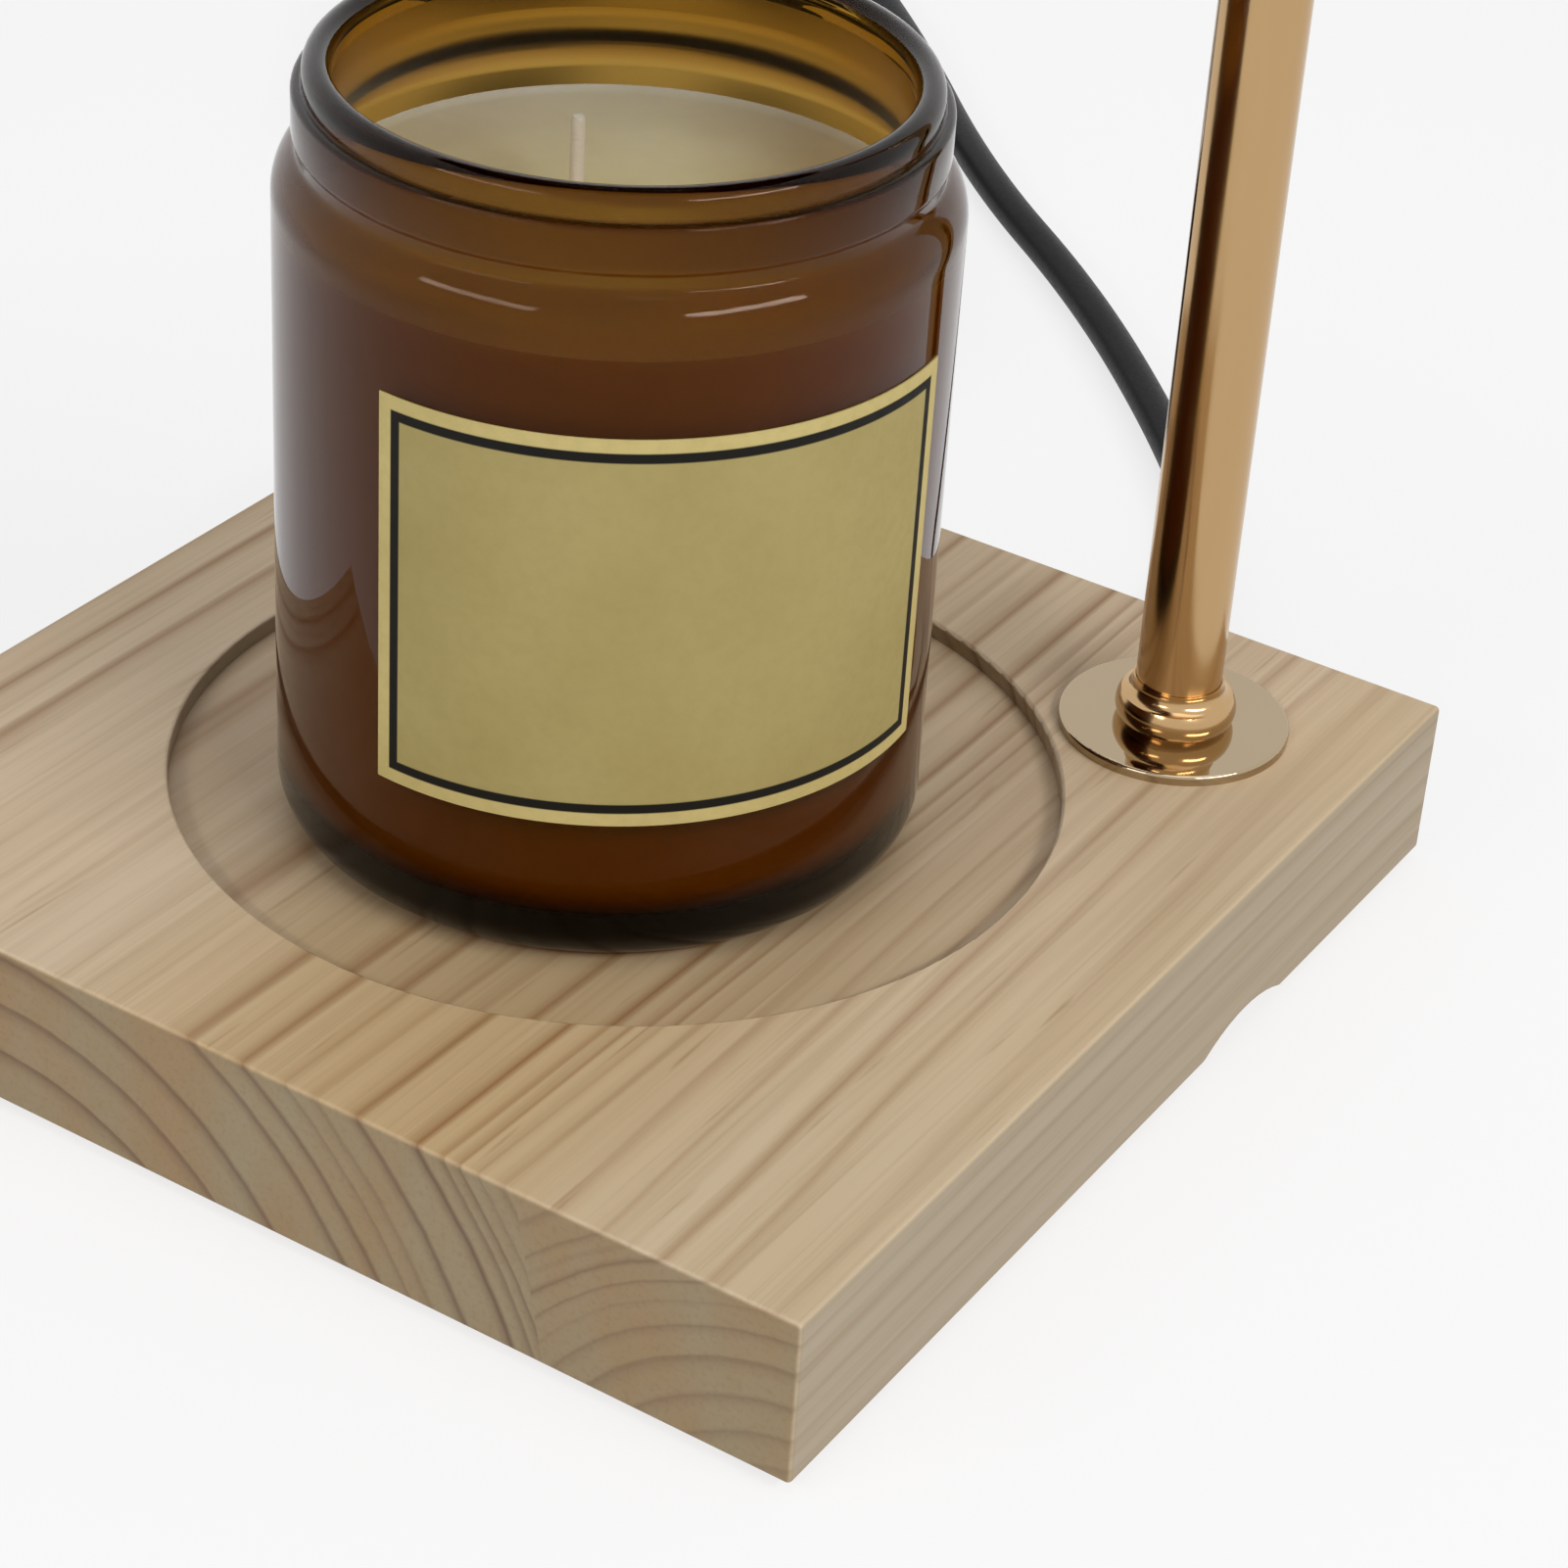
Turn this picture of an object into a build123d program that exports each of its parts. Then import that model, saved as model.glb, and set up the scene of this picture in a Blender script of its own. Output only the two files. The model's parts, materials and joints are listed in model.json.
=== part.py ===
"""Candle warmer lamp: wooden board, swinging arched post, hooded spot lamp, jar candle and mains lead.

z = 0 is the table, the origin is the bottom centre of the board and the post stands in its +X +Y corner.
"""

import math
import os

from build123d import *

os.makedirs("parts", exist_ok=True)

# Board
base_side = 140.0
base_thickness = 20.0
base_edge_round = 0.6
foot_height = 1.2
foot_radius = 4.5
foot_inset = 7.5
recess_radius = 50.5
recess_depth = 2.2
recess_edge_round = 0.4
cavity_radius = 13.0
cavity_depth = 12.0
groove_width = 8.0
finger_notch_width = 20.0
finger_notch_height = 2.5
finger_notch_depth = 4.0
finger_notch_y = 24.0

# Post and its turning joint
post_inset = 23.5
tube_radius = 5.0
tube_wall = 0.9
lamp_height = 320.0
down_leg = 10.0
swing_degrees = 90.0
running_gap = 0.05
washer_radius = 13.5
washer_thickness = 1.2
collar_radius = 7.05
collar_ring_height = 3.4
collar_height = 5.4
collar_foot_round = 0.6
collar_waist = 0.55
collar_flare_drop = 0.55
collar_flare_step = 0.95
collar_top_wall = 0.3
bush_wall = 1.45
bush_flange_radius = 9.2
bush_flange_thickness = 1.0
spring_washer_height = 0.9
spring_washer_radius = 8.4
spring_washer_gap = 0.3
stop_plate_thickness = 1.2
stop_plate_radius = 8.6
stop_lobe_radius = 11.8
stop_pin_radius = 1.0
stop_pin_offset = 10.4
stop_pin_depth = 3.0
stop_pin_below_plate = 0.3
stop_gap_degrees = 0.3
lock_nut_flats = 14.0
lock_nut_height = 3.0
tube_below_nut = 0.6
cover_radius = 17.2
cover_thickness = 1.2
cover_skirt_height = 3.0

# Head
nipple_radius = 4.0
nipple_bore = 2.6
thread_gap = 0.1
cup_radius = 19.0
sheet = 0.8
cup_height = 34.0
cup_bead_radius = 22.0
cup_bead_drop = 20.1
cup_bead_height = 1.5
bracket_thickness = 1.0
bracket_width = 10.0
bracket_height = 9.0
bracket_half_span = 9.0
bracket_half_length = 12.5
head_nut_flats = 12.0
head_nut_height = 3.0
nipple_below_nut = 1.8
nipple_below_arch = 1.0
holder_radius = 14.0
holder_height = 16.0
holder_screw_offset = 10.8
holder_screw_radius = 1.5
holder_screw_length = 8.0
shade_rim_radius = 56.0
shade_shoulder_radius = 24.0
shade_height = 64.5
shade_skirt = 6.0
shade_bead = 1.2
ring_radius = 23.0
ring_height = 5.0

# Bulb
bulb_height = 50.0
bulb_face_radius = 25.0
bulb_base_radius = 11.0
bulb_base_height = 20.0
bulb_wall = 1.2
pin_offset = 5.0
pin_shank_radius = 1.5
pin_shank = 3.6
pin_head_radius = 2.4
pin_head = 3.9
slot_gap = 0.35
holder_lip = 2.4
holder_edge_round = 0.8
contact_thickness = 1.5
bulb_twist_degrees = 30.0
holder_to_bulb = 0.3

# Candle
candle_x = -0.5
candle_y = -3.0
jar_radius = 36.0
jar_wall = 2.9
jar_heel = 5.0
jar_floor = 4.5
jar_body_height = 73.2
jar_shoulder = 4.8
jar_neck = 2.0
jar_band = 4.9
jar_lip = 3.1
neck_radius = 33.5
band_radius = 33.9
band_round = 0.6
lip_radius = 32.8
lip_round = 1.6
mouth_radius = 29.8
wax_below_shoulder = 2.7
wick_x = -4.4
wick_y = -5.5
wick_radius = 0.75
wick_above_wax = 11.0
tab_radius = 8.0
tab_thickness = 0.6
label_low = 18.5
label_height = 45.0
label_thickness = 0.2
label_from = -95.5
label_sweep = 105.0

# Lead
cord_radius = 2.7
wire_radius = 0.95
wire_offset = 1.4
wire_bend = 3.0
joint_above_tube_end = 2.5
cord_exit_x = 25.5
relief_block_length = 9.5
relief_flange = 1.6
relief_tail = 12.4
relief_wall = 1.5
relief_end_wall = 0.4
relief_corner_round = 2.0
lead_straight = 15.0
bend_a_x = 16.0
bend_a_y = 117.0
bend_b_x = 0.0
bend_b_y = 138.5
bend_c_x = -33.7
bend_c_y = 173.1
bend_d_x = -70.5
bend_d_y = 202.2
turn_width = 59.5
turn_length = 49.0
turn_flare = 12.0
turn_crown = 13.0
turn_crown_width = 28.0
turn_drop = 6.0
coil_radius = 27.0
coil_turns_wide = 2
coil_turns_high = 4
coil_s = 146.0
coil_leave = 10.0
coil_settle = 28.0
coil_fall = 3.4
plug_length = 34.0
plug_width = 21.0
plug_thickness = 14.0
blade_length = 17.0
blade_width = 6.3
blade_thickness = 1.5
blade_spacing = 12.7
plug_tail = 14.0
plug_corner_round = 4.0
plug_edge_round = 2.0
plug_u = 27.0
plug_near = 213.0
plug_lead_in = 17.0

# In-line dimmer
switch_length = 62.0
switch_width = 28.0
switch_height = 18.0
switch_wall = 1.6
switch_round = 7.0
wheel_radius = 12.0
wheel_thickness = 4.6
wheel_protrusion = 3.0
wheel_teeth = 30
spindle_radius = 1.5
screw_radius = 1.2
screw_post_radius = 2.6
screw_end_inset = 9.0
screw_side_inset = 5.25
screw_length = 14.0
switch_edge_round = 2.0
switch_u = -23.0
switch_far = 262.0
switch_lead_in = 14.0
switch_lead_out = 10.0
switch_drop = 28.0
cord_grip = 4.0
wheel_gap = 0.6
tooth_radius = 0.6
spindle_length = 2.0
pot_side = 10.0
pot_in_slot = 0.2
board_thickness = 1.0
board_end_inset = 13.0
board_side_inset = 4.0

# Places that follow from the sizes above
post = base_side / 2 - post_inset
base_bottom = foot_height
base_top = base_bottom + base_thickness
recess_floor = base_top - recess_depth
cavity_roof = base_bottom + cavity_depth
cover_top = base_bottom + cover_thickness
bush_flange_low = cavity_roof - bush_flange_thickness
spring_washer_low = bush_flange_low - spring_washer_height
stop_plate_low = spring_washer_low - stop_plate_thickness
stop_pin_low = stop_plate_low - stop_pin_below_plate
lock_nut_low = stop_plate_low - lock_nut_height
tube_low = lock_nut_low - tube_below_nut
tube_bore = tube_radius - tube_wall
joint_bore = tube_radius + running_gap
bush_radius = joint_bore + bush_wall
reach = post * math.sqrt(2)
arch_radius = reach / 2
spring_line = lamp_height - tube_radius - arch_radius
head_top = spring_line - down_leg
groove_z = base_bottom + groove_width / 2
lead_joint = tube_low + joint_above_tube_end
bracket_top = head_top - sheet
holder_top = bracket_top - bracket_height
holder_low = holder_top - holder_height
bulb_top = holder_low - holder_to_bulb
bulb_face = bulb_top - bulb_height
cup_low = head_top - cup_height
plate_top = head_top - cup_bead_drop - cup_bead_height
jar_low = recess_floor
shoulder_low = jar_low + jar_body_height
wax_top = shoulder_low - wax_below_shoulder
neck_low = shoulder_low + jar_shoulder
band_low = neck_low + jar_neck
band_top = band_low + jar_band
jar_top = band_top + jar_lip
jar_bore = jar_radius - jar_wall
wheel_z = switch_height / 2
plug_z = plug_thickness / 2

post_axis = Axis((post, post, 0), (0, 0, 1))
candle_axis = Axis((candle_x, candle_y, 0), (0, 0, 1))
wick_axis = Axis((wick_x, wick_y, 0), (0, 0, 1))


def post_level(height):
    """Level plane centred on the post, with its local x toward the candle."""
    return Plane(origin=(post, post, height), x_dir=(-1, -1, 0), z_dir=(0, 0, 1))


def head_level(height):
    """Level plane centred under the lamp head, with its local x away from the post."""
    return Plane(origin=(0, 0, height), x_dir=(-1, -1, 0), z_dir=(0, 0, 1))


def upright(x, y):
    """Profile plane on a vertical axis: local x is the radius, local y the height."""
    return Plane(origin=(x, y, 0), x_dir=(1, 0, 0), z_dir=(0, -1, 0))


# Board: a plank with a round recess, the joint's cavity below and a groove for the lead
with BuildPart() as base_plate:
    with BuildSketch(Plane.XY.offset(base_bottom)):
        Rectangle(base_side, base_side)
    extrude(amount=base_thickness)
    fillet(base_plate.edges(), base_edge_round)
    with BuildSketch(Plane.XY.offset(recess_floor)):
        Circle(recess_radius)
    extrude(amount=recess_depth, mode=Mode.SUBTRACT)
    rim = base_plate.edges().filter_by(GeomType.CIRCLE).filter_by_position(Axis.Z, base_top, base_top)
    fillet(rim, recess_edge_round)
    with BuildSketch(post_level(base_bottom)):
        Circle(cavity_radius)
    extrude(amount=cavity_depth, mode=Mode.SUBTRACT)
    with BuildSketch(post_level(base_bottom)):
        Circle(cover_radius + running_gap)
    extrude(amount=cover_thickness, mode=Mode.SUBTRACT)
    with BuildSketch(post_level(cavity_roof)):
        with PolarLocations(stop_pin_offset, 1, start_angle=180):
            Circle(stop_pin_radius)
    extrude(amount=stop_pin_depth, mode=Mode.SUBTRACT)
    with BuildSketch(post_level(cavity_roof)):
        Circle(bush_radius + running_gap)
    extrude(amount=base_top - cavity_roof, mode=Mode.SUBTRACT)
    with BuildSketch(Plane.XY.offset(base_bottom)):
        with Locations(((cord_exit_x + post) / 2, post)):
            Rectangle(post - cord_exit_x, groove_width)
        with Locations((cord_exit_x, (base_side / 2 + post - groove_width / 2) / 2)):
            Rectangle(groove_width, base_side / 2 - post + groove_width / 2)
    extrude(amount=groove_width, mode=Mode.SUBTRACT)
    notch_radius = (finger_notch_width**2 / 4 + finger_notch_height**2) / (2 * finger_notch_height)
    with BuildSketch(Plane.YZ.offset(base_side / 2)):
        with Locations((finger_notch_y, base_bottom + finger_notch_height - notch_radius)):
            Circle(notch_radius)
    extrude(amount=-finger_notch_depth, mode=Mode.SUBTRACT)
base_plate.part.label = "base_plate"
export_step(base_plate.part, "parts/base_plate.step")

with BuildPart() as pivot_bush:
    with BuildSketch(post_level(bush_flange_low)):
        Circle(bush_flange_radius)
    extrude(amount=bush_flange_thickness)
    with BuildSketch(post_level(cavity_roof)):
        Circle(bush_radius)
    extrude(amount=base_top - cavity_roof)
    with BuildSketch(post_level(bush_flange_low)):
        Circle(joint_bore)
    extrude(amount=base_top - bush_flange_low, mode=Mode.SUBTRACT)
pivot_bush.part.label = "pivot_bush"
export_step(pivot_bush.part, "parts/pivot_bush.step")

# Polished thrust washer that the collar turns on
with BuildPart() as base_washer:
    with BuildSketch(post_level(base_top)):
        Circle(washer_radius)
        Circle(joint_bore, mode=Mode.SUBTRACT)
    extrude(amount=washer_thickness)
    outer_edges = base_washer.edges().group_by(Axis.Z)[-1].sort_by(SortBy.LENGTH)[-1]
    fillet(outer_edges, washer_thickness / 3)
base_washer.part.label = "base_washer"
export_step(base_washer.part, "parts/base_washer.step")

with BuildPart() as stop_pin:
    with BuildSketch(post_level(stop_pin_low)):
        with PolarLocations(stop_pin_offset, 1, start_angle=180):
            Circle(stop_pin_radius)
    extrude(amount=cavity_roof + stop_pin_depth - stop_pin_low)
stop_pin.part.label = "stop_pin"
export_step(stop_pin.part, "parts/stop_pin.step")

with BuildPart() as cavity_cover:
    with BuildSketch(post_level(base_bottom)):
        Circle(cover_radius)
    extrude(amount=cover_thickness)
    with BuildSketch(post_level(cover_top)):
        Circle(cavity_radius - thread_gap)
        Circle(cavity_radius - thread_gap - cover_thickness, mode=Mode.SUBTRACT)
    extrude(amount=cover_skirt_height)
    with BuildSketch(Plane.XY.offset(cover_top)):
        with Locations((post - cavity_radius, post)):
            Rectangle(cavity_radius, groove_width + cover_thickness)
    extrude(amount=cover_skirt_height, mode=Mode.SUBTRACT)
cavity_cover.part.label = "cavity_cover"
export_step(cavity_cover.part, "parts/cavity_cover.step")

with BuildPart() as rubber_feet:
    foot_grid = base_side - 2 * foot_inset
    with BuildSketch():
        with GridLocations(foot_grid, foot_grid, 2, 2):
            Circle(foot_radius)
    extrude(amount=foot_height)
    fillet(rubber_feet.edges().group_by(Axis.Z)[0], foot_height / 3)
rubber_feet.part.label = "rubber_feet"
export_step(rubber_feet.part, "parts/rubber_feet.step")

# Moulded strain relief: a block in the groove's end, a flange on the board's back and a tapered tail
with BuildPart() as strain_relief:
    with BuildSketch(Plane.XZ.offset(-(base_side / 2 - relief_block_length))):
        with Locations((cord_exit_x, groove_z)):
            Rectangle(groove_width, groove_width)
    extrude(amount=-relief_block_length)
    with BuildSketch(Plane.XZ.offset(-base_side / 2)):
        with Locations((cord_exit_x, groove_z)):
            RectangleRounded(groove_width + 2 * relief_wall, groove_width + 1, relief_corner_round)
    extrude(amount=-relief_flange)
    with BuildSketch(Plane.XZ.offset(-(base_side / 2 + relief_flange))):
        with Locations((cord_exit_x, groove_z)):
            Circle(cord_radius + relief_wall)
    with BuildSketch(Plane.XZ.offset(-(base_side / 2 + relief_flange + relief_tail))):
        with Locations((cord_exit_x, groove_z)):
            Circle(cord_radius + relief_end_wall)
    loft()
strain_relief.part.label = "strain_relief"
export_step(strain_relief.part, "parts/strain_relief.step")


def wire_sides():
    """The two conductors lie on either side of the lead's line."""
    offset = wire_offset / math.sqrt(2)
    return (-offset, offset)


with BuildPart() as lamp_leads_base:
    for side in wire_sides():
        start = (cord_exit_x + side, base_side / 2 - relief_block_length, groove_z)
        corner = (cord_exit_x + side, post + side, groove_z)
        under_post = (post - side, post + side, groove_z)
        inside_tube = (post - side, post + side, lead_joint)
        with BuildLine() as wire_path:
            FilletPolyline(start, corner, under_post, inside_tube, radius=wire_bend)
        with BuildSketch(Plane(origin=start, z_dir=(0, -1, 0))):
            Circle(wire_radius)
        sweep(path=wire_path.line)
lamp_leads_base.part.label = "lamp_leads_base"
export_step(lamp_leads_base.part, "parts/lamp_leads_base.step")

# Arm: tube, collar and the parts that clamp it under the board
arch_plane = Plane(origin=(post, post, 0), x_dir=(-1, -1, 0), z_dir=(-1, 1, 0))


def arch_from(low, end, sideways=0.0):
    """Line up the post, over the arch and down to the head, shifted sideways from the middle plane."""
    with BuildLine(arch_plane.offset(sideways), mode=Mode.PRIVATE) as arch:
        Line((0, low), (0, spring_line))
        ThreePointArc((0, spring_line), (arch_radius, spring_line + arch_radius), (reach, spring_line))
        Line((reach, spring_line), (reach, end))
    return arch.line


with BuildPart() as post_tube:
    with BuildSketch(post_level(tube_low)):
        Circle(tube_radius)
        Circle(tube_bore, mode=Mode.SUBTRACT)
    sweep(path=arch_from(tube_low, head_top))
post_tube.part.label = "post_tube"
export_step(post_tube.part, "parts/post_tube.step")

with BuildPart() as post_collar:
    collar_low = base_top + washer_thickness
    with BuildSketch(upright(post, post)):
        with BuildLine():
            bottom = Line((joint_bore, collar_low), (collar_radius - collar_foot_round, collar_low))
            belly = ThreePointArc(
                bottom @ 1,
                (collar_radius, collar_low + collar_ring_height / 2),
                (collar_radius - collar_waist, collar_low + collar_ring_height),
            )
            flare = ThreePointArc(
                belly @ 1,
                (
                    collar_radius - collar_waist - collar_flare_step,
                    collar_low + collar_ring_height + collar_flare_drop,
                ),
                (tube_radius + collar_top_wall, collar_low + collar_height),
            )
            top = Line(flare @ 1, (joint_bore, collar_low + collar_height))
            Line(top @ 1, bottom @ 0)
        make_face()
    revolve(axis=post_axis)
post_collar.part.label = "post_collar"
export_step(post_collar.part, "parts/post_collar.step")

with BuildPart() as spring_washer:
    with BuildSketch(upright(post, post)):
        with BuildLine():
            Polyline(
                (joint_bore + spring_washer_gap, spring_washer_low + spring_washer_height),
                (joint_bore + spring_washer_gap, spring_washer_low + spring_washer_height / 2),
                (spring_washer_radius, spring_washer_low),
                (spring_washer_radius, spring_washer_low + spring_washer_height / 2),
                close=True,
            )
        make_face()
    revolve(axis=post_axis)
spring_washer.part.label = "spring_washer"
export_step(spring_washer.part, "parts/spring_washer.step")

# Stop plate: its lobe meets the pin at either end of the swing
pin_half_angle = math.degrees(math.asin(stop_pin_radius / stop_pin_offset))
lobe_half_angle = 180 - swing_degrees - pin_half_angle - stop_gap_degrees
with BuildPart() as stop_plate:
    with BuildSketch(post_level(stop_plate_low)):
        with BuildLine():
            lobe = CenterArc((0, 0), stop_lobe_radius, -lobe_half_angle, 2 * lobe_half_angle)
            Line(lobe @ 1, (0, 0))
            Line((0, 0), lobe @ 0)
        make_face()
        Circle(stop_plate_radius)
        Circle(tube_radius, mode=Mode.SUBTRACT)
    extrude(amount=stop_plate_thickness)
stop_plate.part.label = "stop_plate"
export_step(stop_plate.part, "parts/stop_plate.step")

with BuildPart() as lock_nut:
    with BuildSketch(post_level(lock_nut_low)):
        RegularPolygon(lock_nut_flats / 2, 6, major_radius=False)
        Circle(tube_radius, mode=Mode.SUBTRACT)
    extrude(amount=lock_nut_height)
lock_nut.part.label = "lock_nut"
export_step(lock_nut.part, "parts/lock_nut.step")

with BuildPart() as lamp_leads_arm:
    for side in wire_sides():
        with BuildSketch(Plane(origin=(post - side, post + side, lead_joint))):
            Circle(wire_radius)
        sweep(path=arch_from(lead_joint, holder_top, side * math.sqrt(2)))
lamp_leads_arm.part.label = "lamp_leads_arm"
export_step(lamp_leads_arm.part, "parts/lamp_leads_arm.step")

# Lamp head: the nipple clamps cup and bracket to the tube, the bracket carries the ceramic holder
nipple_low = bracket_top - bracket_thickness - head_nut_height - nipple_below_nut
with BuildPart() as head_nipple:
    with BuildSketch(head_level(nipple_low)):
        Circle(nipple_radius)
        Circle(nipple_bore, mode=Mode.SUBTRACT)
    extrude(amount=head_top + down_leg - nipple_below_arch - nipple_low)
head_nipple.part.label = "head_nipple"
export_step(head_nipple.part, "parts/head_nipple.step")

with BuildPart() as head_nut:
    with BuildSketch(head_level(bracket_top - bracket_thickness - head_nut_height)):
        RegularPolygon(head_nut_flats / 2, 6, major_radius=False)
        Circle(nipple_radius, mode=Mode.SUBTRACT)
    extrude(amount=head_nut_height)
head_nut.part.label = "head_nut"
export_step(head_nut.part, "parts/head_nut.step")

with BuildPart() as holder_bracket:
    leg_low = bracket_top - bracket_height
    head_front = Plane(origin=(0, 0, 0), x_dir=(-1, -1, 0), z_dir=(-1, 1, 0))
    with BuildSketch(head_front):
        with BuildLine():
            Polyline(
                (bracket_half_length, leg_low),
                (bracket_half_span - bracket_thickness, leg_low),
                (bracket_half_span - bracket_thickness, bracket_top - bracket_thickness),
                (-bracket_half_span + bracket_thickness, bracket_top - bracket_thickness),
                (-bracket_half_span + bracket_thickness, leg_low),
                (-bracket_half_length, leg_low),
                (-bracket_half_length, leg_low + bracket_thickness),
                (-bracket_half_span, leg_low + bracket_thickness),
                (-bracket_half_span, bracket_top),
                (bracket_half_span, bracket_top),
                (bracket_half_span, leg_low + bracket_thickness),
                (bracket_half_length, leg_low + bracket_thickness),
                close=True,
            )
        make_face()
    extrude(amount=bracket_width / 2, both=True)
    with BuildSketch(head_level(bracket_top)):
        Circle(nipple_radius + thread_gap)
    extrude(amount=-bracket_thickness, mode=Mode.SUBTRACT)
    with BuildSketch(head_level(holder_top)):
        with GridLocations(2 * holder_screw_offset, 1, 2, 1):
            Circle(holder_screw_radius + thread_gap)
    extrude(amount=bracket_thickness, mode=Mode.SUBTRACT)
holder_bracket.part.label = "holder_bracket"
export_step(holder_bracket.part, "parts/holder_bracket.step")

with BuildPart() as holder_screws:
    with BuildSketch(head_level(holder_top + bracket_thickness)):
        with GridLocations(2 * holder_screw_offset, 1, 2, 1):
            Circle(holder_screw_radius)
    extrude(amount=-holder_screw_length)
    with BuildSketch(head_level(holder_top + bracket_thickness)):
        with GridLocations(2 * holder_screw_offset, 1, 2, 1):
            Circle(1.15 * holder_screw_radius)
    extrude(amount=holder_screw_radius)
holder_screws.part.label = "holder_screws"
export_step(holder_screws.part, "parts/holder_screws.step")

# Ceramic holder: each pin enters by a round hole, turns along its slot and its head is held by the lip
slot_width = 2 * (pin_shank_radius + slot_gap)
chamber_width = 2 * (pin_head_radius + slot_gap)
chamber_height = pin_shank + pin_head - holder_lip + slot_gap
pin_paths = [
    CenterArc((0, 0), pin_offset, start, bulb_twist_degrees)
    for start in (-bulb_twist_degrees, 180 - bulb_twist_degrees)
]
with BuildPart() as ceramic_holder:
    with BuildSketch(head_level(holder_low)):
        Circle(holder_radius)
    extrude(amount=holder_height)
    fillet(ceramic_holder.edges(), holder_edge_round)
    with BuildSketch(head_level(holder_low)):
        for pin_path in pin_paths:
            SlotArc(pin_path, slot_width)
            with Locations(pin_path @ 0):
                Circle(chamber_width / 2)
    extrude(amount=holder_lip, mode=Mode.SUBTRACT)
    with BuildSketch(head_level(holder_low + holder_lip)):
        for pin_path in pin_paths:
            SlotArc(pin_path, chamber_width)
    extrude(amount=chamber_height + contact_thickness, mode=Mode.SUBTRACT)
    with BuildSketch(head_level(holder_top)):
        with GridLocations(2 * holder_screw_offset, 1, 2, 1):
            Circle(holder_screw_radius + running_gap)
    extrude(amount=-holder_screw_length, mode=Mode.SUBTRACT)
ceramic_holder.part.label = "ceramic_holder"
export_step(ceramic_holder.part, "parts/ceramic_holder.step")

with BuildPart() as holder_contacts:
    with BuildSketch(head_level(holder_low + holder_lip + chamber_height)):
        for pin_path in pin_paths:
            SlotArc(pin_path, chamber_width - running_gap)
    extrude(amount=contact_thickness)
holder_contacts.part.label = "holder_contacts"
export_step(holder_contacts.part, "parts/holder_contacts.step")

with BuildPart() as holder_cup:
    with BuildSketch(upright(0, 0)):
        with BuildLine():
            Polyline(
                (0, head_top),
                (cup_radius, head_top),
                (cup_radius, plate_top + cup_bead_height),
                (cup_bead_radius, plate_top + cup_bead_height),
                (cup_bead_radius, plate_top),
                (cup_radius, plate_top),
                (cup_radius, cup_low),
                (cup_radius - sheet, cup_low),
                (cup_radius - sheet, bracket_top),
                (0, bracket_top),
                close=True,
            )
        make_face()
    revolve(axis=Axis.Z)
    top_edges = holder_cup.edges().group_by(Axis.Z)[-1]
    fillet(top_edges, sheet / 2)
    with BuildSketch(head_level(bracket_top)):
        Circle(nipple_radius + thread_gap)
    extrude(amount=sheet, mode=Mode.SUBTRACT)
holder_cup.part.label = "holder_cup"
export_step(holder_cup.part, "parts/holder_cup.step")

# Spun shade: a flat top plate on the cup, a dome of even wall, a short skirt and a rolled rim
rim_z = plate_top - shade_height
skirt_top = rim_z + shade_skirt
dome_rise = plate_top - skirt_top
rim_run = shade_rim_radius - shade_shoulder_radius
dome_radius = (rim_run**2 + dome_rise**2) / (2 * rim_run)
dome_x = shade_rim_radius - dome_radius


def on_dome(radius, height):
    """Point of a circle about the dome's centre at the given height."""
    return (dome_x + math.sqrt(radius**2 - (height - skirt_top) ** 2), height)


with BuildPart() as shade:
    inside_radius = dome_radius - sheet
    middle = skirt_top + dome_rise / 2
    with BuildSketch(upright(0, 0)):
        with BuildLine():
            outer = ThreePointArc(
                (shade_rim_radius, skirt_top), on_dome(dome_radius, middle), on_dome(dome_radius, plate_top)
            )
            plate = Line(outer @ 1, (cup_radius + thread_gap, plate_top))
            edge = Line(plate @ 1, (cup_radius + thread_gap, plate_top - sheet))
            under = Line(edge @ 1, on_dome(inside_radius, plate_top - sheet))
            inner = ThreePointArc(
                under @ 1, on_dome(inside_radius, middle), (shade_rim_radius - sheet, skirt_top)
            )
            skirt_in = Line(inner @ 1, (shade_rim_radius - sheet, rim_z))
            lip = Line(skirt_in @ 1, (shade_rim_radius, rim_z))
            Line(lip @ 1, outer @ 0)
        make_face()
        with Locations((shade_rim_radius - sheet / 2, rim_z)):
            Circle(shade_bead)
    revolve(axis=Axis.Z)
shade.part.label = "shade"
export_step(shade.part, "parts/shade.step")

with BuildPart() as shade_ring:
    with BuildSketch(head_level(plate_top - sheet - ring_height)):
        Circle(ring_radius)
        Circle(cup_radius + thread_gap, mode=Mode.SUBTRACT)
    extrude(amount=ring_height)
shade_ring.part.label = "shade_ring"
export_step(shade_ring.part, "parts/shade_ring.step")

# Reflector bulb: it twists out of the holder with its two headed pins
neck_z = bulb_top - bulb_base_height
with BuildPart() as bulb_base:
    with BuildSketch(upright(0, 0)):
        with BuildLine():
            Polyline(
                (0, bulb_top),
                (bulb_base_radius - 2.0, bulb_top),
                (bulb_base_radius - 2.0, bulb_top - 5.0),
                (bulb_base_radius, bulb_top - 7.0),
                (bulb_base_radius, neck_z),
                (0, neck_z),
                close=True,
            )
        make_face()
    revolve(axis=Axis.Z)
bulb_base.part.label = "bulb_base"
export_step(bulb_base.part, "parts/bulb_base.step")

with BuildPart() as bulb_pins:
    with BuildSketch(head_level(bulb_top)):
        with PolarLocations(pin_offset, 2):
            Circle(pin_shank_radius)
    extrude(amount=pin_shank)
    with BuildSketch(head_level(bulb_top + pin_shank)):
        with PolarLocations(pin_offset, 2):
            Circle(pin_head_radius)
    extrude(amount=pin_head)
bulb_pins.part.label = "bulb_pins"
export_step(bulb_pins.part, "parts/bulb_pins.step")

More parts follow.
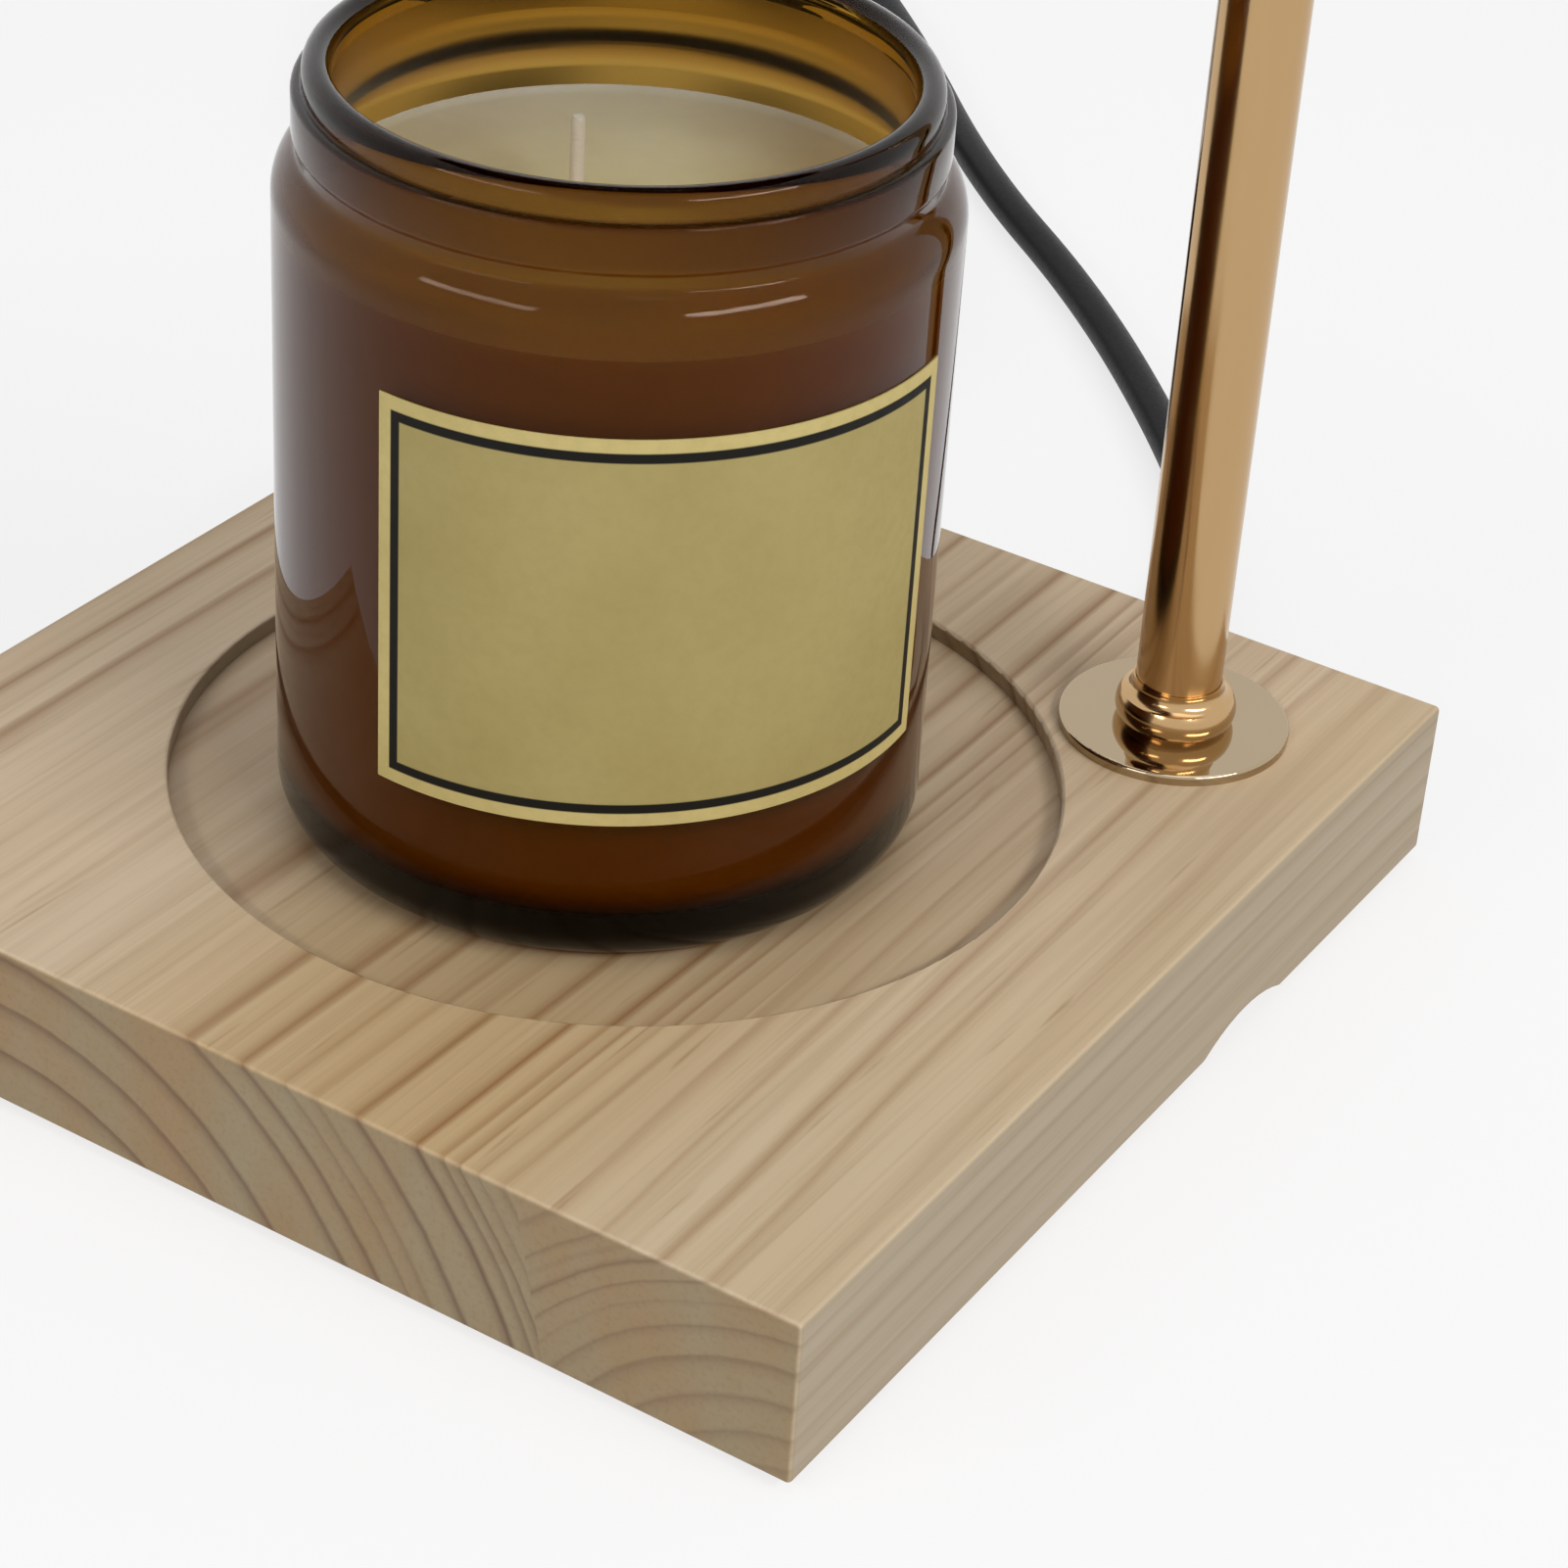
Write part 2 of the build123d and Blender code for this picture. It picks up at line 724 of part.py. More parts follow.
with BuildPart() as bulb_reflector:
    belly_z = bulb_face + 0.45 * (neck_z - bulb_face)
    belly_radius = 0.84 * bulb_face_radius
    with BuildSketch(upright(0, 0)):
        with BuildLine():
            outside = ThreePointArc(
                (bulb_base_radius, neck_z), (belly_radius, belly_z), (bulb_face_radius, bulb_face)
            )
            face_rim = Line(outside @ 1, (bulb_face_radius - bulb_wall, bulb_face))
            inside = ThreePointArc(
                face_rim @ 1,
                (belly_radius - bulb_wall, belly_z),
                (bulb_base_radius - bulb_wall, neck_z),
            )
            Line(inside @ 1, outside @ 0)
        make_face()
    revolve(axis=Axis.Z)
bulb_reflector.part.label = "bulb_reflector"
export_step(bulb_reflector.part, "parts/bulb_reflector.step")

with BuildPart() as bulb_lens:
    with BuildSketch(head_level(bulb_face)):
        Circle(bulb_face_radius)
    extrude(amount=-bulb_wall)
    fillet(bulb_lens.edges().group_by(Axis.Z)[0], bulb_wall / 2)
bulb_lens.part.label = "bulb_lens"
export_step(bulb_lens.part, "parts/bulb_lens.step")

with BuildPart() as bulb_capsule:
    with BuildSketch(head_level(neck_z)):
        Circle(bulb_base_radius / 3)
    extrude(amount=-0.6 * (neck_z - bulb_face))
    fillet(bulb_capsule.edges().group_by(Axis.Z)[0], bulb_base_radius / 5)
bulb_capsule.part.label = "bulb_capsule"
export_step(bulb_capsule.part, "parts/bulb_capsule.step")

# Candle: a straight-sided jar with a heel, a shoulder, a stepped neck band and a rounded lip
with BuildPart() as candle_jar:
    with BuildSketch(upright(candle_x, candle_y)):
        with BuildLine():
            foot = Line((0, jar_low), (jar_radius - jar_heel, jar_low))
            heel = TangentArc(foot @ 1, (jar_radius, jar_low + jar_heel), tangent=(1, 0))
            side = Line(heel @ 1, (jar_radius, shoulder_low))
            shoulder = ThreePointArc(
                side @ 1,
                (0.7 * jar_radius + 0.3 * neck_radius, shoulder_low + 0.58 * jar_shoulder),
                (neck_radius, neck_low),
            )
            neck = Line(shoulder @ 1, (neck_radius, neck_low + 0.7 * jar_neck))
            flare = ThreePointArc(
                neck @ 1,
                (0.7 * neck_radius + 0.3 * band_radius, neck_low + 0.88 * jar_neck),
                (band_radius, band_low),
            )
            band = Line(flare @ 1, (band_radius, band_top - band_round))
            ledge = ThreePointArc(
                band @ 1,
                (band_radius - 0.3 * band_round, band_top - 0.3 * band_round),
                (band_radius - band_round, band_top),
            )
            valley = Line(ledge @ 1, (lip_radius, band_top))
            lip_side = Line(valley @ 1, (lip_radius, jar_top - lip_round))
            lip_out = ThreePointArc(
                lip_side @ 1,
                (lip_radius - 0.29 * lip_round, jar_top - 0.29 * lip_round),
                (lip_radius - lip_round, jar_top),
            )
            lip_in = ThreePointArc(
                lip_out @ 1,
                (0.7 * mouth_radius + 0.3 * (lip_radius - lip_round), jar_top - 0.3 * lip_round),
                (mouth_radius, jar_top - lip_round),
            )
            throat = Line(lip_in @ 1, (mouth_radius, band_low))
            inside_shoulder = Spline(
                throat @ 1,
                (0.76 * mouth_radius + 0.24 * jar_bore, shoulder_low + 0.75 * jar_shoulder),
                (jar_bore, shoulder_low),
                tangents=((0, -1), (0, -1)),
            )
            wall = Line(inside_shoulder @ 1, (jar_bore, jar_low + jar_floor + jar_heel))
            corner = TangentArc(wall @ 1, (jar_bore - jar_heel, jar_low + jar_floor), tangent=(0, -1))
            floor = Line(corner @ 1, (0, jar_low + jar_floor))
            Line(floor @ 1, foot @ 0)
        make_face()
    revolve(axis=candle_axis)
candle_jar.part.label = "candle_jar"
export_step(candle_jar.part, "parts/candle_jar.step")

tab_low = jar_low + jar_floor
with BuildPart() as wick_tab:
    with BuildSketch(upright(wick_x, wick_y)):
        with BuildLine():
            Polyline(
                (wick_radius, tab_low),
                (tab_radius, tab_low),
                (tab_radius, tab_low + tab_thickness),
                (wick_radius + tab_thickness, tab_low + tab_thickness),
                (wick_radius + tab_thickness, tab_low + tab_radius),
                (wick_radius, tab_low + tab_radius),
                close=True,
            )
        make_face()
    revolve(axis=wick_axis)
wick_tab.part.label = "wick_tab"
export_step(wick_tab.part, "parts/wick_tab.step")

with BuildPart() as candle_wick:
    with BuildSketch(Plane(origin=(wick_x, wick_y, tab_low))):
        Circle(wick_radius)
    extrude(amount=wax_top + wick_above_wax - tab_low)
candle_wick.part.label = "candle_wick"
export_step(candle_wick.part, "parts/candle_wick.step")

with BuildPart() as candle_wax:
    with BuildSketch(Plane(origin=(candle_x, candle_y, tab_low))):
        Circle(jar_bore)
    extrude(amount=wax_top - tab_low)
    fillet(candle_wax.edges().group_by(Axis.Z)[0], jar_heel)
    add(wick_tab.part, mode=Mode.SUBTRACT)
    add(candle_wick.part, mode=Mode.SUBTRACT)
candle_wax.part.label = "candle_wax"
export_step(candle_wax.part, "parts/candle_wax.step")

# Paper label: part of a turn around the jar, facing the board's -Y side
label_direction = (math.cos(math.radians(label_from)), math.sin(math.radians(label_from)), 0)
label_normal = (label_direction[1], -label_direction[0], 0)
label_plane = Plane(origin=(candle_x, candle_y, 0), x_dir=label_direction, z_dir=label_normal)
with BuildPart() as candle_label:
    with BuildSketch(label_plane):
        with Locations((jar_radius + label_thickness / 2, jar_low + label_low + label_height / 2)):
            Rectangle(label_thickness, label_height)
    revolve(axis=candle_axis, revolution_arc=label_sweep)
candle_label.part.label = "candle_label"
export_step(candle_label.part, "parts/candle_label.step")

# Lead: places on the table are measured from the candle, along the line from the front corner to the back
away = (-0.56, 0.8285)
right = (0.8285, 0.56)
switch_near = switch_far - switch_length
coil_outer = coil_radius + coil_turns_wide * cord_radius
coil_inner = coil_radius - coil_turns_wide * cord_radius
coil_height = 2 * cord_radius * coil_turns_high
last_turn = coil_outer - cord_radius
coil_u = switch_u + last_turn


def table_point(across, out, height=cord_radius):
    """Point beside (across) and beyond (out) the candle, at the given height."""
    x = candle_x + across * right[0] + out * away[0]
    y = candle_y + across * right[1] + out * away[1]
    return (x, y, height)


def table_plane(across, out, height=0.0):
    """Level plane at a table point: local x points away from the candle, local y to its left."""
    x_dir = (away[0], away[1], 0)
    return Plane(origin=table_point(across, out, height), x_dir=x_dir, z_dir=(0, 0, 1))


def bend_radii(points):
    """Even bend radii that leave a short straight between neighbouring bends."""
    radii = []
    for before, here, after in zip(points, points[1:], points[2:]):
        into = Vector(*here) - Vector(*before)
        out_of = Vector(*after) - Vector(*here)
        half_turn = math.radians(into.get_angle(out_of)) / 2
        radii.append(0.45 * min(into.length, out_of.length) / math.tan(half_turn))
    return radii


def lead(points):
    """Centre line of a lead with its bends."""
    radii = bend_radii(points)
    print("bend radii", [round(radius, 1) for radius in radii])
    return FilletPolyline(*points, radius=radii)


tail_end = base_side / 2 + relief_flange + relief_tail
mains_points = [
    (cord_exit_x, tail_end, groove_z),
    (cord_exit_x, tail_end + lead_straight, groove_z),
    (bend_a_x, bend_a_y, cord_radius),
    (bend_b_x, bend_b_y, cord_radius),
    (bend_c_x, bend_c_y, cord_radius),
    (bend_d_x, bend_d_y, cord_radius),
    table_point(switch_u + turn_width + turn_flare, switch_far),
    table_point(switch_u + turn_width, switch_far + turn_length),
    table_point(switch_u + turn_crown_width, switch_far + turn_length + turn_crown),
    table_point(switch_u, switch_far + turn_length - turn_drop),
    table_point(switch_u, switch_far + switch_lead_in, wheel_z),
    table_point(switch_u, switch_far - cord_grip, wheel_z),
]
with BuildPart() as mains_cord:
    with BuildLine() as mains_line:
        lead(mains_points)
    with BuildSketch(Plane(origin=mains_points[0], z_dir=mains_line.line % 0)):
        Circle(cord_radius)
    sweep(path=mains_line.line)
mains_cord.part.label = "mains_cord"
export_step(mains_cord.part, "parts/mains_cord.step")

tail_points = [
    table_point(switch_u, switch_near + cord_grip, wheel_z),
    table_point(switch_u, switch_near - switch_lead_out, wheel_z),
    table_point(switch_u, switch_near - switch_drop),
    table_point(coil_u - last_turn, coil_s + coil_leave),
]
with BuildPart() as cord_tail:
    with BuildLine() as tail_line:
        lead(tail_points)
    with BuildSketch(Plane(origin=tail_points[0], z_dir=tail_line.line % 0)):
        Circle(cord_radius)
    sweep(path=tail_line.line)
cord_tail.part.label = "cord_tail"
export_step(cord_tail.part, "parts/cord_tail.step")

with BuildPart() as cord_coil:
    with BuildSketch(table_plane(coil_u, coil_s)):
        Circle(coil_outer)
        Circle(coil_inner, mode=Mode.SUBTRACT)
    extrude(amount=coil_height)
    fillet(cord_coil.edges(), cord_radius)
cord_coil.part.label = "cord_coil"
export_step(cord_coil.part, "parts/cord_coil.step")

top_turn = coil_height - cord_radius
plug_points = [
    table_point(coil_u + last_turn, coil_s + coil_leave, top_turn),
    table_point(coil_u + last_turn - 1.0, coil_s + coil_settle, top_turn - coil_fall),
    table_point(plug_u, plug_near - plug_lead_in, plug_z),
    table_point(plug_u, plug_near, plug_z),
]
with BuildPart() as plug_cord:
    with BuildLine() as plug_line:
        lead(plug_points)
    with BuildSketch(Plane(origin=plug_points[0], z_dir=plug_line.line % 0)):
        Circle(cord_radius)
    sweep(path=plug_line.line)
plug_cord.part.label = "plug_cord"
export_step(plug_cord.part, "parts/plug_cord.step")

# Two-blade plug lying flat, its tail tapering to the lead
with BuildPart() as plug_body:
    with BuildSketch(table_plane(plug_u, plug_near + plug_tail + (plug_length - plug_tail) / 2)):
        RectangleRounded(plug_length - plug_tail, plug_width, plug_corner_round)
    extrude(amount=plug_thickness)
    fillet(plug_body.edges().group_by(Axis.Z)[-1], plug_edge_round)
    fillet(plug_body.edges().group_by(Axis.Z)[0], plug_edge_round)
    tail_plane = Plane(origin=table_point(plug_u, plug_near, plug_z), z_dir=(away[0], away[1], 0))
    with BuildSketch(tail_plane):
        Circle(cord_radius + relief_end_wall)
    with BuildSketch(tail_plane.offset(plug_tail + 1)):
        Circle(plug_thickness / 2 - relief_wall)
    loft()
plug_body.part.label = "plug_body"
export_step(plug_body.part, "parts/plug_body.step")

with BuildPart() as plug_blades:
    with BuildSketch(table_plane(plug_u, plug_near + plug_length + blade_length / 2, plug_z)):
        with GridLocations(1, blade_spacing, 1, 2):
            Rectangle(blade_length, blade_thickness)
    extrude(amount=blade_width / 2, both=True)
plug_blades.part.label = "plug_blades"
export_step(plug_blades.part, "parts/plug_blades.step")

# In-line dimmer: two shells, a thumb wheel on its spindle, the control it turns and the board under it
switch_middle = (switch_far + switch_near) / 2
wheel_side = switch_width / 2 + wheel_protrusion - wheel_radius
part_line = switch_height / 2
slot_half = wheel_thickness / 2 + wheel_gap
lead_plane = Plane(origin=table_point(switch_u, switch_middle, wheel_z), z_dir=(away[0], away[1], 0))


def switch_plane(height):
    """Level plane in the middle of the dimmer, with its local x along the lead."""
    return table_plane(switch_u, switch_middle, height)


def screw_places():
    """Four screws, two at each end of the dimmer."""
    return GridLocations(switch_length - 2 * screw_end_inset, switch_width - 2 * screw_side_inset, 2, 2)


def shell_outline(inset):
    """Outline of the dimmer's shells, drawn smaller by the inset."""
    return RectangleRounded(switch_length - 2 * inset, switch_width - 2 * inset, switch_round - inset)


with BuildPart() as switch_lower_shell:
    with BuildSketch(switch_plane(0)):
        shell_outline(0)
    extrude(amount=part_line)
    fillet(switch_lower_shell.edges().group_by(Axis.Z)[0], switch_edge_round)
    with BuildSketch(switch_plane(switch_wall)):
        shell_outline(switch_wall)
    extrude(amount=part_line - switch_wall, mode=Mode.SUBTRACT)
    with BuildSketch(switch_plane(switch_wall)):
        with screw_places():
            Circle(screw_post_radius)
    extrude(amount=part_line - switch_wall)
    with BuildSketch(switch_plane(0)):
        with screw_places():
            Circle(screw_radius + running_gap)
    extrude(amount=part_line, mode=Mode.SUBTRACT)
    with BuildSketch(switch_plane(part_line - slot_half)):
        with Locations((0, wheel_side)):
            Circle(wheel_radius + wheel_gap)
    extrude(amount=slot_half, mode=Mode.SUBTRACT)
    with BuildSketch(lead_plane):
        Circle(cord_radius)
    extrude(amount=switch_length, both=True, mode=Mode.SUBTRACT)
switch_lower_shell.part.label = "switch_lower_shell"
export_step(switch_lower_shell.part, "parts/switch_lower_shell.step")

with BuildPart() as switch_upper_shell:
    with BuildSketch(switch_plane(part_line)):
        shell_outline(0)
    extrude(amount=part_line)
    fillet(switch_upper_shell.edges().group_by(Axis.Z)[-1], switch_edge_round)
    with BuildSketch(switch_plane(part_line)):
        shell_outline(switch_wall)
    extrude(amount=part_line - switch_wall, mode=Mode.SUBTRACT)
    with BuildSketch(switch_plane(part_line)):
        with screw_places():
            Circle(screw_post_radius)
    extrude(amount=part_line - switch_wall)
    with BuildSketch(switch_plane(part_line)):
        with screw_places():
            Circle(screw_radius + running_gap)
    extrude(amount=screw_length - part_line + running_gap, mode=Mode.SUBTRACT)
    with BuildSketch(switch_plane(part_line)):
        with Locations((0, wheel_side)):
            Circle(wheel_radius + wheel_gap)
    extrude(amount=slot_half, mode=Mode.SUBTRACT)
    with BuildSketch(switch_plane(part_line + slot_half)):
        with Locations((0, wheel_side)):
            Circle(2 * spindle_radius)
    extrude(amount=part_line - slot_half - switch_wall / 2)
    with BuildSketch(switch_plane(part_line + slot_half)):
        with Locations((0, wheel_side)):
            Circle(spindle_radius + running_gap)
    extrude(amount=spindle_length + running_gap, mode=Mode.SUBTRACT)
    with BuildSketch(lead_plane):
        Circle(cord_radius)
    extrude(amount=switch_length, both=True, mode=Mode.SUBTRACT)
switch_upper_shell.part.label = "switch_upper_shell"
export_step(switch_upper_shell.part, "parts/switch_upper_shell.step")

with BuildPart() as switch_screws:
    with BuildSketch(switch_plane(switch_wall / 2)):
        with screw_places():
            Circle(screw_radius)
    extrude(amount=screw_length - switch_wall / 2)
switch_screws.part.label = "switch_screws"
export_step(switch_screws.part, "parts/switch_screws.step")

with BuildPart() as dimmer_wheel:
    with BuildSketch(switch_plane(wheel_z)):
        with Locations((0, wheel_side)):
            Circle(wheel_radius)
        with Locations((0, wheel_side)):
            with PolarLocations(wheel_radius + tooth_radius / 2, wheel_teeth):
                Circle(tooth_radius, mode=Mode.SUBTRACT)
    extrude(amount=wheel_thickness / 2, both=True)
    with BuildSketch(switch_plane(wheel_z)):
        with Locations((0, wheel_side)):
            Circle(spindle_radius)
    extrude(amount=slot_half + spindle_length, both=True)
dimmer_wheel.part.label = "dimmer_wheel"
export_step(dimmer_wheel.part, "parts/dimmer_wheel.step")

board_low = switch_wall + wheel_gap
pot_low = board_low + board_thickness
with BuildPart() as dimmer_board:
    with BuildSketch(switch_plane(board_low)):
        Rectangle(switch_length - 2 * board_end_inset, switch_width - 2 * board_side_inset)
        with Locations((0, wheel_side)):
            Circle(spindle_radius + wheel_gap, mode=Mode.SUBTRACT)
    extrude(amount=board_thickness)
dimmer_board.part.label = "dimmer_board"
export_step(dimmer_board.part, "parts/dimmer_board.step")

with BuildPart() as dimmer_pot:
    with BuildSketch(switch_plane(pot_low)):
        with Locations((0, wheel_side)):
            Rectangle(pot_side, pot_side)
            Circle(spindle_radius + running_gap, mode=Mode.SUBTRACT)
    extrude(amount=wheel_z - slot_half + pot_in_slot - pot_low)
dimmer_pot.part.label = "dimmer_pot"
export_step(dimmer_pot.part, "parts/dimmer_pot.step")


def line_length(built_line):
    """Length of a built centre line."""
    return sum(edge.length for edge in built_line.edges())


coil_length = 2 * math.pi * coil_radius * coil_turns_wide * coil_turns_high
free_length = line_length(mains_line) + line_length(tail_line) + line_length(plug_line)
print("lead", round(free_length + coil_length + switch_length - 2 * cord_grip), "mm")
for cord, line in ((mains_cord, mains_line), (cord_tail, tail_line), (plug_cord, plug_line)):
    section = math.pi * cord_radius**2
    print("volume against section x length", round(cord.part.volume / (section * line_length(line)), 4))
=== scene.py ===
"""Candle warmer lamp: finished surfaces, mains lead, lights and camera over the CAD frame. Metres."""

import json
import math

import bmesh
import bpy
from mathutils import Matrix, Vector


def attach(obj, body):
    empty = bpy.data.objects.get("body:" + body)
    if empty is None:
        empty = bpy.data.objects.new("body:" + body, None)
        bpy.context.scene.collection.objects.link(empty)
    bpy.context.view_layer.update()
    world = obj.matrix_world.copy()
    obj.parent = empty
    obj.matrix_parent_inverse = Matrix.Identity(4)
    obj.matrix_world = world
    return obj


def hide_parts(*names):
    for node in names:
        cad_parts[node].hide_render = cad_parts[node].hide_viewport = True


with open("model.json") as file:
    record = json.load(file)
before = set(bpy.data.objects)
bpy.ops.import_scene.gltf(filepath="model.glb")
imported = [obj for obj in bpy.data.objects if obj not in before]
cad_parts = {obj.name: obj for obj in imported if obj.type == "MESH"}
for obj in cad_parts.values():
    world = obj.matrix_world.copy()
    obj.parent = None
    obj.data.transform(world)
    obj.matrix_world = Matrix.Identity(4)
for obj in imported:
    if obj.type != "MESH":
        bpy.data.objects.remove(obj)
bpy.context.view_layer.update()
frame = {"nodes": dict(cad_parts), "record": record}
nodes = frame["nodes"]

# ---------------------------------------------------------------- camera
FOOT = 0.0012  # height of the rubber feet under the board
camera_data = bpy.data.cameras.new("camera")
camera_data.sensor_width = 36.0
camera_data.lens = 92.6
camera_data.clip_start = 0.01
camera_data.clip_end = 20.0
camera = bpy.data.objects.new("camera", camera_data)
bpy.context.scene.collection.objects.link(camera)
camera_right = Vector((0.8371, 0.5441, 0.0570))
camera_up = Vector((-0.3355, 0.4282, 0.8391))
camera_back = Vector((0.4322, -0.7215, 0.5409))
camera_place = Vector((0.2143, -0.3208, 0.2661 + FOOT))
turn = Matrix((camera_right, camera_up, camera_back)).transposed().to_4x4()
camera.matrix_world = Matrix.Translation(camera_place) @ turn
bpy.context.scene.camera = camera

# ---------------------------------------------------------------- shared sizes, as in the CAD
CANDLE = Vector((-0.0005, -0.0030))
WICK = Vector((-0.0044, -0.0055))
JAR_LOW = 0.0190
JAR_RADIUS = 0.0360
WAX_TOP = JAR_LOW + 0.0705
CORD = 0.0027  # half the lead's diameter
COIL_RADIUS = 0.027
COIL_WIDE, COIL_HIGH = 2, 4
RIGHT = Vector((0.8285, 0.5600))
AWAY = Vector((-0.5600, 0.8285))
SWITCH_U, SWITCH_FAR, SWITCH_LENGTH, GRIP = -0.023, 0.262, 0.062, 0.004
SWITCH_Z, PLUG_Z = 0.009, 0.007
COIL_U, COIL_S = 0.0067, 0.146
PLUG_U, PLUG_NEAR = 0.027, 0.213
LAST_TURN = COIL_RADIUS + (COIL_WIDE - 1) * CORD
TOP_TURN = (2 * COIL_HIGH - 1) * CORD
TURN_POINTS = 16
LABEL_START, LABEL_SWEEP, LABEL_HIGH = math.radians(-95.5), math.radians(105.0), 0.045
LABEL_IN, LABEL_OUT = JAR_RADIUS + 0.00003, JAR_RADIUS + 0.0002
LABEL_ARC = LABEL_SWEEP * LABEL_OUT


def table(across, out, height=CORD):
    """Point beside and beyond the candle, as in the CAD."""
    place = CANDLE + across * RIGHT + out * AWAY
    return Vector((place.x, place.y, height))


# ---------------------------------------------------------------- lead
def curve_piece(name, line, steps):
    """Open NURBS curve as thick as the lead: its points hold the radius, which the curve's box counts too."""
    data = bpy.data.curves.new(name, "CURVE")
    data.dimensions = "3D"
    data.bevel_depth = 1.0
    data.bevel_resolution = 8
    data.use_fill_caps = True
    spline = data.splines.new("NURBS")
    spline.points.add(len(line) - 1)
    for point, place in zip(spline.points, line):
        point.co = (*place, 1.0)
        point.radius = CORD
    spline.order_u = 3
    spline.use_endpoint_u = True
    spline.resolution_u = steps
    piece = bpy.data.objects.new(name, data)
    bpy.context.scene.collection.objects.link(piece)
    return piece


def spline_length(piece):
    """Length of a curve's centre line."""
    bare = bpy.data.objects.new("bare", piece.data.copy())
    bare.data.bevel_depth = 0.0
    mesh = bpy.data.meshes.new_from_object(bare)
    line = [vertex.co.copy() for vertex in mesh.vertices]
    bpy.data.meshes.remove(mesh)
    bpy.data.curves.remove(bare.data)
    return sum((b - a).length for a, b in zip(line, line[1:]))


lamp_route = [
    Vector((0.0255, 0.0840, 0.0052)),
    Vector((0.0255, 0.0990, 0.0052)),
    Vector((0.0160, 0.1170, CORD)),
    Vector((0.0000, 0.1385, CORD)),
    Vector((-0.0337, 0.1731, CORD)),
    Vector((-0.0705, 0.2022, CORD)),
    table(0.0485, 0.262),
    table(0.0365, 0.311),
    table(0.0050, 0.324),
    table(SWITCH_U, 0.305),
    table(SWITCH_U, SWITCH_FAR + 0.014, SWITCH_Z),
    table(SWITCH_U, SWITCH_FAR - GRIP, SWITCH_Z),
]
switch_near = SWITCH_FAR - SWITCH_LENGTH
coil_route = [
    table(SWITCH_U, switch_near + GRIP, SWITCH_Z),
    table(SWITCH_U, switch_near - 0.010, SWITCH_Z),
    table(SWITCH_U, switch_near - 0.028),
    table(SWITCH_U, COIL_S + 0.010),
]
plug_route = [
    table(COIL_U + LAST_TURN, COIL_S + 0.010, TOP_TURN),
    table(COIL_U + LAST_TURN - 0.001, COIL_S + 0.028, TOP_TURN - 0.0034),
    table(PLUG_U, PLUG_NEAR - 0.017, PLUG_Z),
    table(PLUG_U, PLUG_NEAR, PLUG_Z),
]


def coil_line():
    """Turns beside and on each other, from the outside of the lowest layer to the outside of the top one."""
    turns = COIL_WIDE * COIL_HIGH
    inner = LAST_TURN - 2 * CORD
    line = []
    for i in range(1, turns * TURN_POINTS + TURN_POINTS // 2):
        turn_number = min(i / TURN_POINTS, turns - 0.001)
        layer = min(int(turn_number / COIL_WIDE), COIL_HIGH - 1)
        outward = layer % 2 == 1
        second = turn_number - COIL_WIDE * layer >= 1
        radius = LAST_TURN if outward == second else inner
        angle = math.pi + 2 * math.pi * i / TURN_POINTS
        height = CORD + 2 * CORD * layer
        line.append(table(COIL_U + radius * math.cos(angle), COIL_S + radius * math.sin(angle), height))
    return line


lamp_cord = curve_piece("mains_lead", lamp_route, 12)
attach(lamp_cord, "base")
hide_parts("mains_cord")

plug_cord = curve_piece("plug_lead", coil_route + coil_line() + plug_route, 6)
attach(plug_cord, "base")
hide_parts("cord_tail", "cord_coil", "plug_cord")
lamp_length, plug_length = spline_length(lamp_cord), spline_length(plug_cord)
print("lead", round(lamp_length + SWITCH_LENGTH - 2 * GRIP + plug_length, 3), "m")


# ---------------------------------------------------------------- materials
WHITE = (1.0, 1.0, 1.0, 1.0)
# growth rings: radius about the heart in mm, darkness, width in mm
HEART_RINGS = (
    (29.0, 0.6, 0.6),
    (35.3, 0.7, 0.6),
    (41.5, 0.7, 0.6),
    (47.6, 0.75, 0.6),
    (55.2, 0.8, 0.45),
    (58.9, 0.8, 0.45),
    (62.2, 0.35, 0.4),
    (64.6, 0.4, 0.4),
    (68.3, 0.85, 0.45),
    (73.6, 1.0, 0.45),
    (75.9, 0.6, 0.35),
    (77.6, 0.65, 0.35),
    (79.5, 0.35, 0.35),
    (81.8, 0.45, 0.35),
)
OUTER_RINGS = (
    (24.3, 0.3, 0.5),
    (28.2, 0.35, 0.5),
    (32.3, 0.4, 0.5),
    (36.5, 0.45, 0.5),
    (40.1, 0.4, 0.4),
    (43.0, 0.3, 0.2),
    (45.0, 0.35, 0.15),
    (47.4, 1.0, 0.2),
    (49.0, 0.4, 0.15),
    (50.8, 0.5, 0.25),
    (54.0, 0.4, 0.3),
)
# each glued stave's heart X and Z, the radii its rings span, and the rings
STAVES = (
    (-0.030, -0.027, (0.020, 0.100), HEART_RINGS),
    (0.0745, -0.0207, (0.015, 0.095), OUTER_RINGS),
)
GLUE_LINE = 0.0410


def srgb(r, g, b):
    """Linear colour from 0-255 display values."""
    out = []
    for value in (r, g, b):
        value = value / 255
        out.append(value / 12.92 if value <= 0.04045 else ((value + 0.055) / 1.055) ** 2.4)
    return (*out, 1.0)


